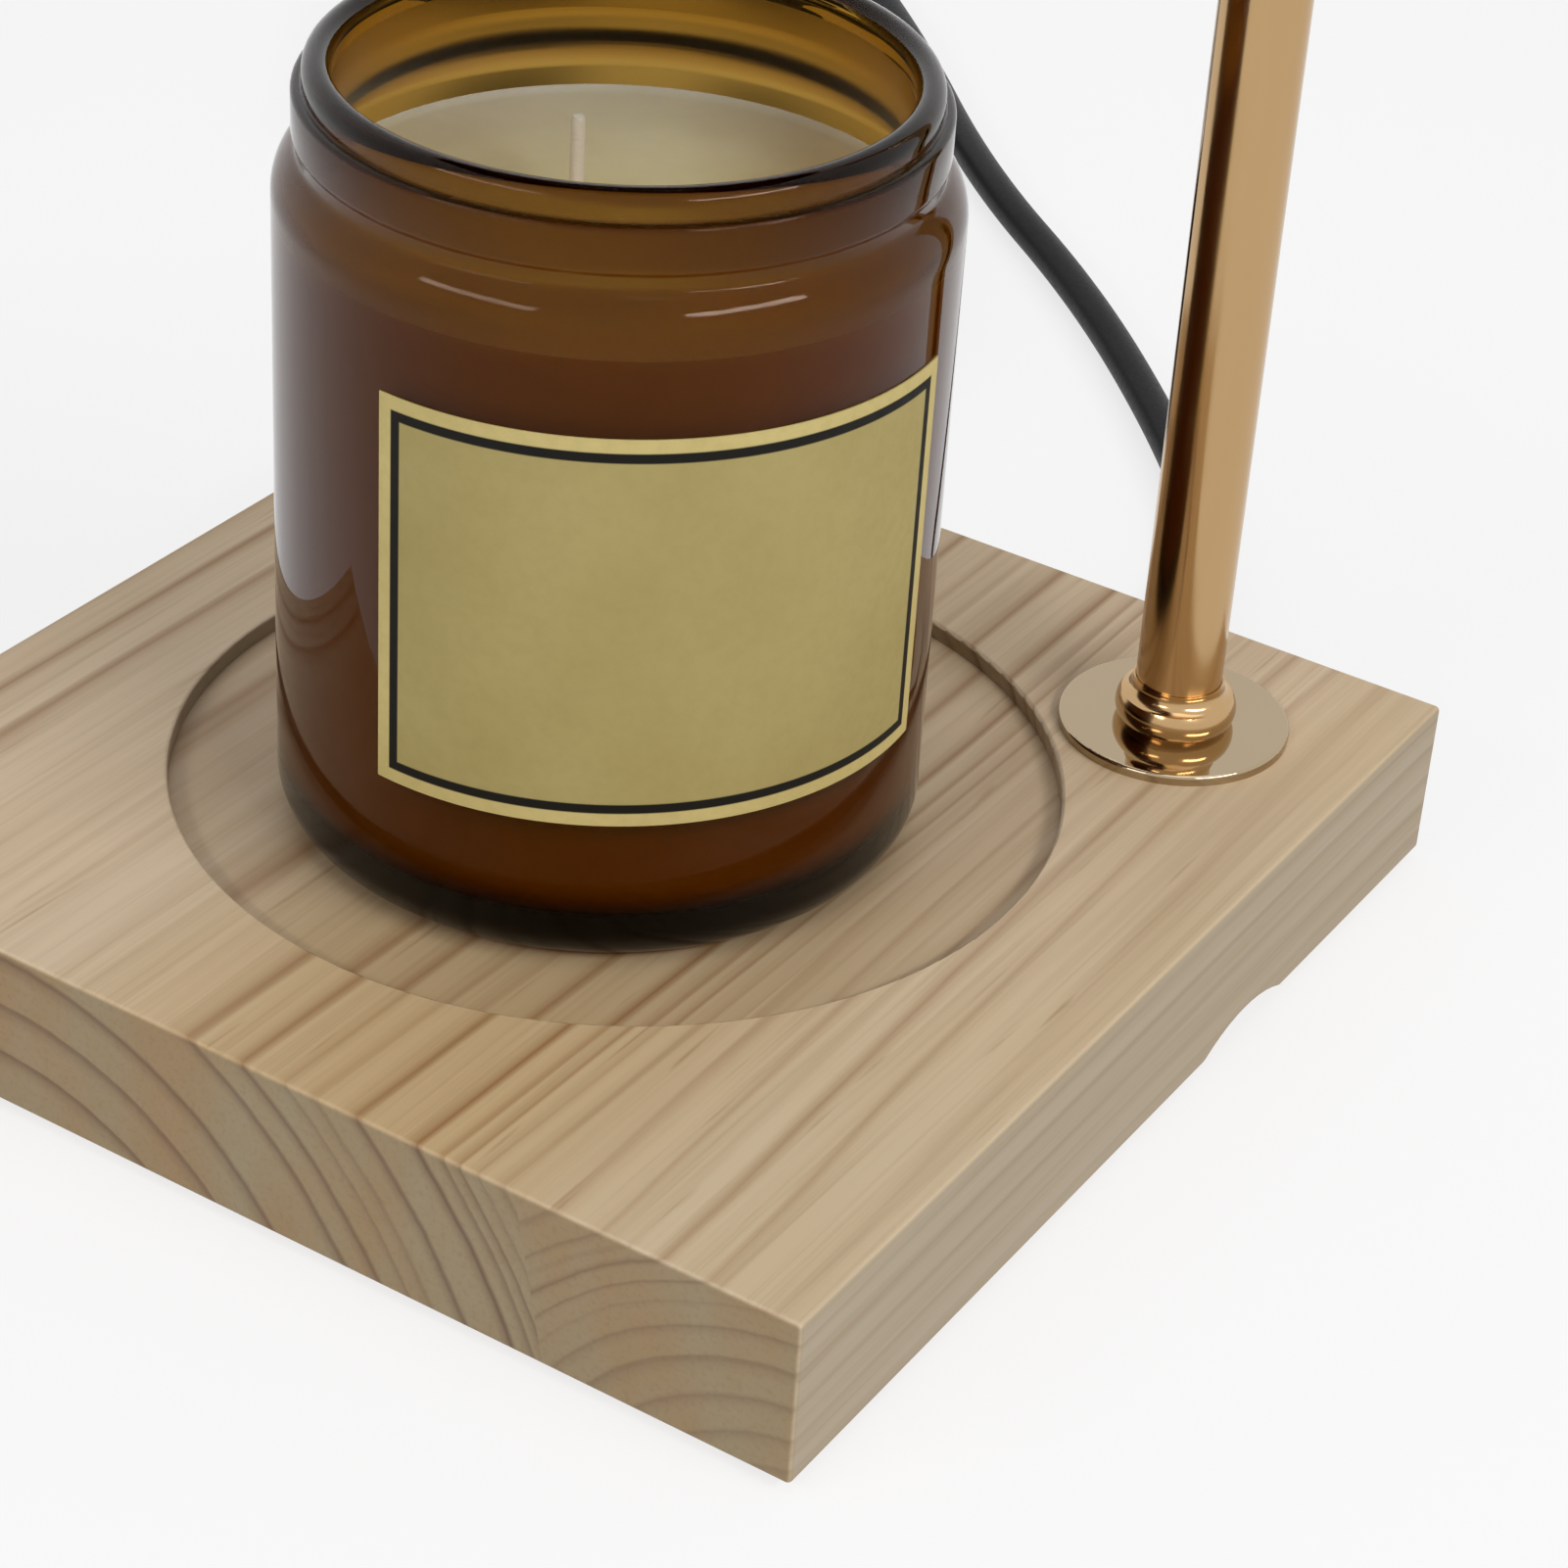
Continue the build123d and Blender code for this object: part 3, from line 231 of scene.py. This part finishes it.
class Nodes:
    """A material's node tree with short ways to add and join nodes."""

    def __init__(self, name):
        self.material = bpy.data.materials.new(name)
        self.material.use_nodes = True
        self.tree = self.material.node_tree
        self.tree.nodes.clear()
        self.out = self.tree.nodes.new("ShaderNodeOutputMaterial")
        self.shader = self.add("ShaderNodeBsdfPrincipled")
        self.join(self.shader, 0, self.out, "Surface")

    def add(self, kind, inputs=None, **settings):
        node = self.tree.nodes.new(kind)
        for key, value in settings.items():
            setattr(node, key, value)
        for key, value in (inputs or {}).items():
            self.feed(node, key, value)
        return node

    def feed(self, node, key, value):
        """Sets an input to a constant, or joins it to another node's first output."""
        if isinstance(value, tuple) and len(value) == 2 and hasattr(value[0], "outputs"):
            self.tree.links.new(value[0].outputs[value[1]], node.inputs[key])
        elif hasattr(value, "outputs"):
            self.tree.links.new(value.outputs[0], node.inputs[key])
        else:
            node.inputs[key].default_value = value

    def join(self, source, output, target, key):
        self.tree.links.new(source.outputs[output], target.inputs[key])

    def coords(self, scale=(1, 1, 1)):
        """Object coordinates, stretched."""
        where = self.add("ShaderNodeTexCoord")
        mapping = self.add("ShaderNodeMapping")
        self.join(where, "Object", mapping, "Vector")
        mapping.inputs["Scale"].default_value = scale
        return mapping

    def noise(self, scale, detail=3.0, rough=0.5, stretch=(1, 1, 1)):
        values = {"Vector": self.coords(stretch), "Scale": scale, "Detail": detail, "Roughness": rough}
        return self.add("ShaderNodeTexNoise", values)

    def math(self, operation, a, b=0.0):
        node = self.add("ShaderNodeMath", operation=operation)
        self.feed(node, 0, a)
        self.feed(node, 1, b)
        return node

    def sum(self, a, b):
        return self.math("ADD", a, b)

    def product(self, a, b):
        return self.math("MULTIPLY", a, b)

    def split(self, vector=None):
        """X, Y and Z of a vector, or of the object coordinates."""
        return self.add("ShaderNodeSeparateXYZ", {"Vector": vector or self.coords()})

    def distance(self, across, centre_across, along, centre_along):
        """Distance from a line that runs along the third axis."""
        one = self.math("SUBTRACT", across, centre_across)
        other = self.math("SUBTRACT", along, centre_along)
        return self.math("SQRT", self.sum(self.product(one, one), self.product(other, other)))

    def span(self, value, low, high, to_low=0.0, to_high=1.0):
        """Value between low and high moved to the new span, held at its ends."""
        node = self.add("ShaderNodeMapRange")
        self.feed(node, "Value", value)
        for key, number in (("From Min", low), ("From Max", high), ("To Min", to_low), ("To Max", to_high)):
            node.inputs[key].default_value = number
        return node

    def mix(self, factor, a, b):
        node = self.add("ShaderNodeMixRGB")
        self.feed(node, "Fac", factor)
        self.feed(node, "Color1", a)
        self.feed(node, "Color2", b)
        return node

    def either(self, factor, shader_a, shader_b):
        """Surface that is the first shader at 0 and the second at 1."""
        node = self.add("ShaderNodeMixShader", {"Fac": factor})
        self.tree.links.new(shader_a.outputs[0], node.inputs[1])
        self.tree.links.new(shader_b.outputs[0], node.inputs[2])
        self.join(node, 0, self.out, "Surface")

    def bump(self, height, strength, distance):
        node = self.add("ShaderNodeBump", {"Height": height, "Strength": strength, "Distance": distance})
        self.join(node, "Normal", self.shader, "Normal")

    def color(self, value):
        self.feed(self.shader, "Base Color", value)

    def rough(self, value):
        self.feed(self.shader, "Roughness", value)

    def fix(self, **values):
        """Constants on the shader's own sockets, with _ for the spaces in their names."""
        for key, value in values.items():
            self.shader.inputs[key.replace("_", " ")].default_value = value


def darker(colour, share):
    return (*[share * c for c in colour[:3]], 1.0)


def metal(name, colour, rough, spots=0.3, streak=(1, 1, 1), scale=400.0):
    """Metal with fine uneven gloss and faint colour drift."""
    m = Nodes(name)
    fine = m.noise(scale, 2.0, 0.6, streak)
    broad = m.noise(scale / 12, 2.0, 0.5, streak)
    m.fix(Metallic=1.0)
    m.color(m.mix(m.span(broad, 0.3, 0.7, 0.0, 0.35), colour, darker(colour, 0.86)))
    m.rough(m.span(fine, 0.3, 0.7, rough * (1 - spots), rough * (1 + spots)))
    m.bump(fine, 0.02, 0.0002)
    return m.material


def polymer(name, colour, rough, grain=900.0, strength=0.05):
    """Moulded plastic or rubber with a fine grain."""
    m = Nodes(name)
    fine = m.noise(grain, 2.0, 0.6)
    broad = m.noise(40.0, 2.0, 0.5)
    m.color(m.mix(m.span(broad, 0.35, 0.65), colour, darker(colour, 0.8)))
    m.rough(m.span(fine, 0.3, 0.7, rough * 0.85, min(1.0, rough * 1.15)))
    m.bump(fine, strength, 0.0002)
    return m.material


def growth_rings(m, radius, reach, rings):
    """Darkness of the growth rings: each darkens slowly outward and ends in a sharp late line."""
    node = m.add("ShaderNodeFloatCurve", {"Value": m.span(radius, *reach)})
    curve = node.mapping.curves[0]
    corners = []
    for place, dark, width in rings:
        corners += [(place - 3.4 * width, 0.0), (place - 1.3 * width, 0.35 * dark)]
        corners += [(place, dark), (place + 0.6 * width, 0.0)]
    for place, dark in corners:
        point = curve.points.new((place / 1000 - reach[0]) / (reach[1] - reach[0]), dark)
        point.handle_type = "VECTOR"
    curve.points[0].location = (0.0, 0.0)
    curve.points[-1].location = (1.0, 0.0)
    node.mapping.update()
    return node


def wood_material():
    """Two glued staves, each with rings about its own heart: grain along +Y on top, arcs at the ends."""
    m = Nodes("wood")
    place = m.split()
    drift = m.noise(7.0, 2.0, 0.5, (1, 0.5, 1))
    waver = m.noise(110.0, 3.0, 0.6, (1, 0.10, 1))
    late_parts = []
    for heart_x, heart_z, reach, rings in STAVES:
        radius = m.distance((place, "X"), heart_x, (place, "Z"), heart_z)
        for wander, width in ((drift, 0.006), (waver, 0.0009)):
            radius = m.sum(radius, m.product(m.math("SUBTRACT", wander, 0.5), width))
        late_parts.append(growth_rings(m, radius, reach, rings))
    second = m.math("GREATER_THAN", m.sum((place, "X"), m.product((place, "Z"), 0.2)), GLUE_LINE)
    late = m.mix(second, *late_parts)

    # fibres: long fine ones, short dark flecks, broad warm and grey bands
    fibres = m.noise(520.0, 3.0, 0.6, (1, 0.022, 1))
    threads = m.noise(1300.0, 2.0, 0.6, (1, 0.016, 1))
    flecks = m.noise(620.0, 2.0, 0.5, (1, 0.06, 1))
    broad = m.noise(26.0, 3.0, 0.55, (1, 0.12, 1))
    patches = m.noise(16.0, 2.0, 0.5, (1, 0.5, 1))
    face = m.mix(m.span(broad, 0.3, 0.7), srgb(223, 200, 169), srgb(206, 181, 145))
    face = m.mix(m.span(patches, 0.45, 0.75, 0.0, 0.5), face, srgb(208, 193, 167))
    aside = m.math("ABSOLUTE", m.math("SUBTRACT", (place, "X"), 0.013))
    nearer = m.span((place, "Y"), -0.060, 0.020, 0.6, 0.15)
    warm = m.product(m.span(aside, 0.014, 0.036, 1.0, 0.0), nearer)
    face = m.mix(warm, face, srgb(194, 160, 106))
    face = m.mix(late, face, srgb(136, 88, 36))
    face = m.mix(m.span(fibres, 0.42, 0.75, 0.0, 0.24), face, srgb(150, 116, 74))
    face = m.mix(m.span(threads, 0.5, 0.8, 0.0, 0.22), face, srgb(132, 98, 60))
    face = m.mix(m.span(flecks, 0.68, 0.78, 0.0, 0.5), face, srgb(140, 98, 52))

    # painted shade: the long sides are greyer, and the floor of the recess cut in the board a little darker
    normal = m.split((m.add("ShaderNodeNewGeometry"), "Normal"))
    side_painted_shade = m.span(m.math("ABSOLUTE", (normal, "X")), 0.6, 0.95, 0.0, 0.7)
    face = m.mix(side_painted_shade, face, srgb(152, 138, 115))
    recess_painted_shade = m.product(m.span((place, "Z"), 0.0206, 0.0202), m.math("GREATER_THAN", (normal, "Z"), 0.9))
    face = m.mix(m.product(recess_painted_shade, 0.22), face, srgb(130, 104, 70))

    # sawn ends are darker, with red-brown lines
    bands = m.noise(90.0, 2.0, 0.5, (1, 0.3, 0.35))
    dots = m.noise(1500.0, 2.0, 0.6)
    sawn = m.mix(m.span(bands, 0.35, 0.65), srgb(158, 130, 92), srgb(156, 139, 107))
    sawn = m.mix(late, sawn, srgb(92, 58, 36))
    sawn = m.mix(m.span(dots, 0.5, 0.75, 0.0, 0.25), sawn, srgb(112, 84, 54))
    m.color(m.mix(m.span(m.math("ABSOLUTE", (normal, "Y")), 0.6, 0.95), face, sawn))
    m.rough(m.span(fibres, 0.3, 0.7, 0.42, 0.6))
    m.bump(m.sum(m.product(fibres, 0.6), m.product(threads, -0.5)), 0.12, 0.0003)
    return m.material


def glass_material(name, rough, tint, shadow):
    """Glass with slightly uneven gloss, through which shadow rays pass with their own tint."""
    m = Nodes(name)
    m.color(tint)
    m.fix(Transmission_Weight=1.0, IOR=1.5)
    m.rough(m.span(m.noise(300.0), 0.3, 0.7, rough * 0.5, rough * 1.5))
    m.bump(m.noise(45.0, 1.0, 0.3), 0.015, 0.0005)
    see_through = m.add("ShaderNodeBsdfTransparent", {"Color": (*shadow, 1.0)})
    m.either((m.add("ShaderNodeLightPath"), "Is Shadow Ray"), m.shader, see_through)
    return m


def amber_glass():
    """Amber jar: matt inside above the wax, with painted shade that tints the glass near black in the thick
    rounded foot.
    """
    m = glass_material("amber_glass", 0.012, WHITE, (0.675, 0.405, 0.198))
    place = m.split()
    radius = m.distance((place, "X"), CANDLE.x, (place, "Y"), CANDLE.y)
    above = m.math("GREATER_THAN", (place, "Z"), WAX_TOP - 0.001)
    below = m.math("LESS_THAN", (place, "Z"), JAR_LOW + 0.0845)
    inside = m.product(m.math("LESS_THAN", radius, 0.0332), m.product(above, below))
    m.rough(m.span(inside, 0.0, 1.0, 0.012, 0.30))
    # painted shade: a dark brownish specular tint dims the jar's reflections
    m.fix(Specular_Tint=(0.30, 0.24, 0.20, 1.0))
    # painted shade: the glass is tinted near black in the lowest few millimetres of the foot
    foot = m.span((place, "Z"), JAR_LOW + 0.0030, JAR_LOW + 0.0060)
    m.color(m.mix(foot, (0.02, 0.022, 0.028, 1.0), WHITE))
    depth = m.add("ShaderNodeVolumeAbsorption", {"Color": (0.775, 0.645, 0.25, 1.0), "Density": 1400.0})
    m.join(depth, "Volume", m.out, "Volume")
    return m.material


def wax_material():
    """Cream wax with painted shade that makes it greyer away from the front."""
    m = Nodes("wax")
    place = m.split()
    depth = m.math("SUBTRACT", m.product((place, "Y"), 0.8), m.product((place, "X"), 0.6))
    cloud = m.span(m.noise(60.0, 4.0, 0.55), 0.3, 0.7)
    front_colour = m.mix(cloud, srgb(224, 215, 156), srgb(212, 201, 140))
    # painted shade: the wax turns greyer away from the front
    back_painted_shade = m.mix(cloud, srgb(216, 212, 190), srgb(202, 198, 172))
    m.color(m.mix(m.span(depth, -0.010, 0.030), front_colour, back_painted_shade))
    m.fix(Subsurface_Weight=0.35, Subsurface_Radius=(0.004, 0.003, 0.0015), Subsurface_Scale=1.0)
    m.rough(m.span(m.noise(200.0), 0.3, 0.7, 0.35, 0.5))
    m.bump(m.noise(120.0, 3.0), 0.25, 0.0005)
    return m.material


def label_material():
    """Khaki paper with a lighter margin and a thin black frame line, set out in mm on its own map."""
    m = Nodes("label")
    place = m.split(m.add("ShaderNodeUVMap", uv_map="label"))
    across = m.math("SUBTRACT", LABEL_ARC / 2 * 1000, m.math("ABSOLUTE", (place, "X")))
    along = m.math("SUBTRACT", LABEL_HIGH / 2 * 1000, m.math("ABSOLUTE", (place, "Y")))
    edge = m.math("MINIMUM", across, along)
    line = m.product(m.span(edge, 1.45, 1.6), m.span(edge, 2.7, 2.55))
    fibre = m.noise(700.0, 3.0, 0.6)
    cloud = m.span(m.noise(50.0, 3.0, 0.5), 0.3, 0.7)
    field = m.mix(cloud, srgb(176, 161, 106), srgb(166, 150, 94))
    margin = m.mix(cloud, srgb(208, 190, 128), srgb(196, 178, 116))
    paper = m.mix(m.span(edge, 2.0, 2.1), margin, field)
    paper = m.mix(m.span(fibre, 0.4, 0.7, 0.0, 0.12), paper, srgb(140, 126, 80))
    m.color(m.mix(line, paper, srgb(26, 24, 20)))
    m.rough(m.span(fibre, 0.3, 0.7, 0.45, 0.62))
    m.bump(fibre, 0.05, 0.0002)
    return m.material


amber = amber_glass()
black_cord = polymer("cord_black", srgb(21, 21, 24), 0.42, 1500.0, 0.08)
cotton = polymer("wick_cotton", srgb(226, 219, 200), 0.8, 2500.0, 0.5)
label = label_material()
wax = wax_material()
for dull in (black_cord, label):
    dull.node_tree.nodes["Principled BSDF"].inputs["Specular IOR Level"].default_value = 0.12

finishes = {
    "wood_board": wood_material(),
    "polished_washer": metal("polished_washer", srgb(176, 158, 130), 0.03, 0.5, scale=300.0),
    "gold_finish": metal("gold_finish", srgb(194, 160, 115), 0.16, 0.35, (1, 1, 0.15), 500.0),
    "steel_parts": metal("steel_parts", srgb(190, 190, 192), 0.3),
    "plug_brass": metal("plug_brass", srgb(214, 186, 122), 0.25),
    "bulb_mirror": metal("bulb_mirror", srgb(232, 232, 235), 0.12),
    "polymer_white": polymer("polymer_white", srgb(225, 225, 220), 0.45),
    "polymer_black": polymer("polymer_black", srgb(34, 34, 35), 0.5),
    "foot_rubber": polymer("foot_rubber", srgb(40, 40, 41), 0.7),
    "lead_sleeve": polymer("lead_sleeve", srgb(30, 30, 31), 0.55),
    "wire_sleeve": polymer("wire_sleeve", srgb(215, 212, 200), 0.5),
    "circuit_board": polymer("circuit_board", srgb(50, 110, 60), 0.4),
    "ceramic": polymer("ceramic", srgb(232, 228, 218), 0.35, 500.0),
    "bulb_glass": glass_material("bulb_glass", 0.03, WHITE, (0.855, 0.855, 0.855)).material,
    "bulb_glass_frosted": glass_material(
        "bulb_glass_frosted", 0.35, (0.96, 0.95, 0.93, 1), (0.63, 0.63, 0.63)
    ).material,
    "cord_black": black_cord,
    "amber_glass": amber,
    "candle_wax": wax,
    "wick_cotton": cotton,
    "label_paper": label,
}


# ---------------------------------------------------------------- pieces
def add_piece(name, vertices, faces, material):
    """Mesh object with one material."""
    mesh = bpy.data.meshes.new(name)
    mesh.from_pydata(vertices, [], faces)
    mesh.materials.append(material)
    piece = bpy.data.objects.new(name, mesh)
    bpy.context.scene.collection.objects.link(piece)
    return piece


def lathe(name, profile, centre, steps, material, sweep=None):
    """Surface of revolution of (radius, height) points: a full turn, or a closed profile over a part."""
    vertices, faces = [], []
    start, arc = sweep or (0.0, 2 * math.pi)
    turns = steps + 1 if sweep else steps
    for i in range(turns):
        angle = start + arc * i / steps
        for radius, height in profile:
            across, along = radius * math.cos(angle), radius * math.sin(angle)
            vertices.append((centre.x + across, centre.y + along, height))
    count = len(profile)
    for i in range(steps):
        here, there = i * count, ((i + 1) % turns) * count
        for k in range(count if sweep else count - 1):
            after = (k + 1) % count
            faces.append((here + k, there + k, there + after, here + after))
    piece = add_piece(name, vertices, faces, material)
    piece.data.validate()
    clean(piece.data)
    piece.data.shade_smooth()
    piece.data.set_sharp_from_angle(angle=math.radians(35.0))
    return piece


def clean(mesh):
    """Joins points that coincide on the axis and turns the faces outward."""
    bm = bmesh.new()
    bm.from_mesh(mesh)
    bmesh.ops.remove_doubles(bm, verts=bm.verts, dist=1e-7)
    bmesh.ops.recalc_face_normals(bm, faces=bm.faces)
    bm.to_mesh(mesh)
    bm.free()


def arc_points(centre, radius, start, end, steps=8):
    """Points of an arc in a profile, angles in degrees."""
    points = []
    for i in range(steps + 1):
        angle = math.radians(start + (end - start) * i / steps)
        points.append((centre[0] + radius * math.cos(angle), centre[1] + radius * math.sin(angle)))
    return points


def dress(piece, body, node_names):
    """Puts a finished piece in place of its CAD nodes."""
    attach(piece, body)
    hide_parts(*node_names)


def mm(points):
    """Profile points in metres."""
    return [(r / 1000, z / 1000) for r, z in points]


# jar: outside from the foot to the lip, then down the inside
jar_profile = (
    [(0.0, 1.2), (24.0, 1.2), (27.5, 0.0)]
    + arc_points((31.0, 5.0), 5.0, -90, 0, 12)
    + [(36.0, 12.0), (36.0, 40.0), (36.0, 66.0), (36.0, 72.6)]
    + arc_points((29.95, 73.2), 6.05, 0, 52, 14)
    + [(33.52, 78.25), (33.5, 78.5), (33.5, 79.4), (33.54, 79.6)]
    + [(33.64, 79.8), (33.78, 79.95), (33.88, 80.15)]
    + [(33.9, 80.4), (33.9, 82.0), (33.9, 84.3)]
    + [(33.85, 84.52), (33.72, 84.72), (33.52, 84.85), (33.3, 84.9), (32.95, 84.92), (32.8, 85.05)]
    + [(32.8, 86.3)]
    + [(32.72, 86.8), (32.48, 87.3), (32.05, 87.72), (31.5, 87.95), (31.1, 88.0)]
    + [(30.6, 87.9), (30.15, 87.5), (29.9, 87.0), (29.8, 86.4)]
    + [(29.8, 80.0), (29.95, 78.7), (30.55, 76.9), (31.7, 75.3), (32.6, 74.2), (33.0, 73.6), (33.1, 73.0)]
    + [(33.1, 70.5), (33.1, 40.0), (33.1, 14.0)]
    + arc_points((28.1, 9.5), 5.0, 0, -90, 12)
    + [(0.0, 4.5)]
)
jar = lathe("jar", mm([(r, z + JAR_LOW * 1000) for r, z in jar_profile]), CANDLE, 256, amber)
dress(jar, "candle", ["candle_jar"])

# wax fills the inside with a slight overlap into the glass so that no air film shows
wax_low, wax_high = JAR_LOW * 1000 + 4.5, WAX_TOP * 1000
wax_profile = (
    [(0.0, wax_low - 0.05), (28.1, wax_low - 0.05)]
    + arc_points((28.1, wax_low + 5.0), 5.05, -90, 0, 12)
    + [(33.15, 60.0), (33.15, wax_high - 0.5), (33.15, wax_high + 0.5)]
    + [(32.7, wax_high + 0.1), (31.8, wax_high - 0.1), (16.0, wax_high), (0.0, wax_high)]
)
candle_wax = lathe("wax", mm(wax_profile), CANDLE, 192, wax)
dress(candle_wax, "candle", ["candle_wax"])

wick_profile = mm([(0.0, 60.0), (0.75, 60.0), (0.75, 99.9), (0.6, 100.4), (0.0, 100.5)])
wick = lathe("wick", wick_profile, WICK, 32, cotton)
dress(wick, "candle", ["candle_wick"])

# label with its own map in millimetres, so its frame line keeps its width
label_low = JAR_LOW + 0.0185
label_high = label_low + LABEL_HIGH
label_profile = [
    (LABEL_IN, label_low),
    (LABEL_OUT, label_low),
    (LABEL_OUT, label_high),
    (LABEL_IN, label_high),
]
label_piece = lathe("label", label_profile, CANDLE, 128, label, (LABEL_START, LABEL_SWEEP))
label_map = label_piece.data.uv_layers.new(name="label")
for loop in label_piece.data.loops:
    place = label_piece.data.vertices[loop.vertex_index].co
    angle = (math.atan2(place.y - CANDLE.y, place.x - CANDLE.x) - LABEL_START) % (2 * math.pi)
    if angle > 1.5 * math.pi:
        angle -= 2 * math.pi
    across = (angle / LABEL_SWEEP - 0.5) * LABEL_ARC * 1000
    label_map.data[loop.index].uv = (across, (place.z - label_low - LABEL_HIGH / 2) * 1000)
dress(label_piece, "candle", ["candle_label"])


# ---------------------------------------------------------------- finish the CAD pieces
record_slots = {part["node"]: part["material_slot"] for part in frame["record"]["subparts"]}
for name, node in nodes.items():
    node.data.materials.clear()
    node.data.materials.append(finishes[record_slots[name]])
for lead_piece in (lamp_cord, plug_cord):
    lead_piece.data.materials.append(black_cord)


# ---------------------------------------------------------------- floor and light
FLOOR_HALF, FLOOR_Z = 6.0, -0.0001
ROOM_LIGHT = 0.36
# The floor is white to the camera, in metal and through glass. Near the object it keeps the shadow,
# and far off it fades into the background.
paper = Nodes("floor")
paper.fix(Base_Color=(0.9, 0.9, 0.9, 1.0), Roughness=0.9, Specular_IOR_Level=0.1)
glow = paper.add("ShaderNodeEmission", {"Color": WHITE, "Strength": 1.0})
seen = paper.add("ShaderNodeLightPath")
seen_or_mirrored = paper.math("MAXIMUM", (seen, "Is Camera Ray"), (seen, "Is Glossy Ray"))
white = paper.math("MAXIMUM", seen_or_mirrored, (seen, "Is Transmission Ray"))
spot = paper.add("ShaderNodeNewGeometry")
away = paper.add("ShaderNodeVectorMath", {"Vector": (spot, "Position")}, operation="LENGTH")
share = paper.product(white, paper.span((away, "Value"), 0.35, 1.3, 0.75, 1.0))
paper.either(share, paper.shader, glow)
floor_corners = [(x * FLOOR_HALF, y * FLOOR_HALF, FLOOR_Z) for x, y in ((-1, -1), (1, -1), (1, 1), (-1, 1))]
add_piece("floor", floor_corners, [(0, 1, 2, 3)], paper.material)

world = bpy.data.worlds.new("studio")
bpy.context.scene.world = world
world.use_nodes = True
background = world.node_tree.nodes["Background"]
background.inputs["Color"].default_value = WHITE
tree = world.node_tree
# the room lights the object evenly, and is white to the camera, in metal and through glass
rays = tree.nodes.new("ShaderNodeLightPath")
white_to = rays.outputs["Is Camera Ray"]
for kind in ("Is Glossy Ray", "Is Transmission Ray"):
    either = tree.nodes.new("ShaderNodeMath")
    either.operation = "MAXIMUM"
    tree.links.new(white_to, either.inputs[0])
    tree.links.new(rays.outputs[kind], either.inputs[1])
    white_to = either.outputs[0]
strength = tree.nodes.new("ShaderNodeMapRange")
strength.inputs["To Min"].default_value = ROOM_LIGHT
strength.inputs["To Max"].default_value = 1.0
tree.links.new(white_to, strength.inputs["Value"])
tree.links.new(strength.outputs["Result"], background.inputs["Strength"])


def softbox(name, place, aim, size, power):
    """Rectangular area light that faces its aim point."""
    data = bpy.data.lights.new(name, "AREA")
    data.shape = "RECTANGLE"
    data.size, data.size_y = size
    data.energy = power
    light = bpy.data.objects.new(name, data)
    light.location = place
    light.rotation_mode = "QUATERNION"
    light.rotation_quaternion = (Vector(aim) - Vector(place)).to_track_quat("-Z", "Y")
    bpy.context.scene.collection.objects.link(light)


softbox("key_right", (1.03, -0.18, 0.83), (0, 0, 0.05), (0.85, 0.16), 7.3)
softbox("key_left", (-0.28, -1.06, 0.78), (0, 0, 0.05), (0.85, 0.16), 3.8)
softbox("top", (0.0, 0.1, 1.6), (0, 0, 0.0), (1.2, 1.2), 4.5)

bpy.context.scene.view_settings.view_transform = "Standard"
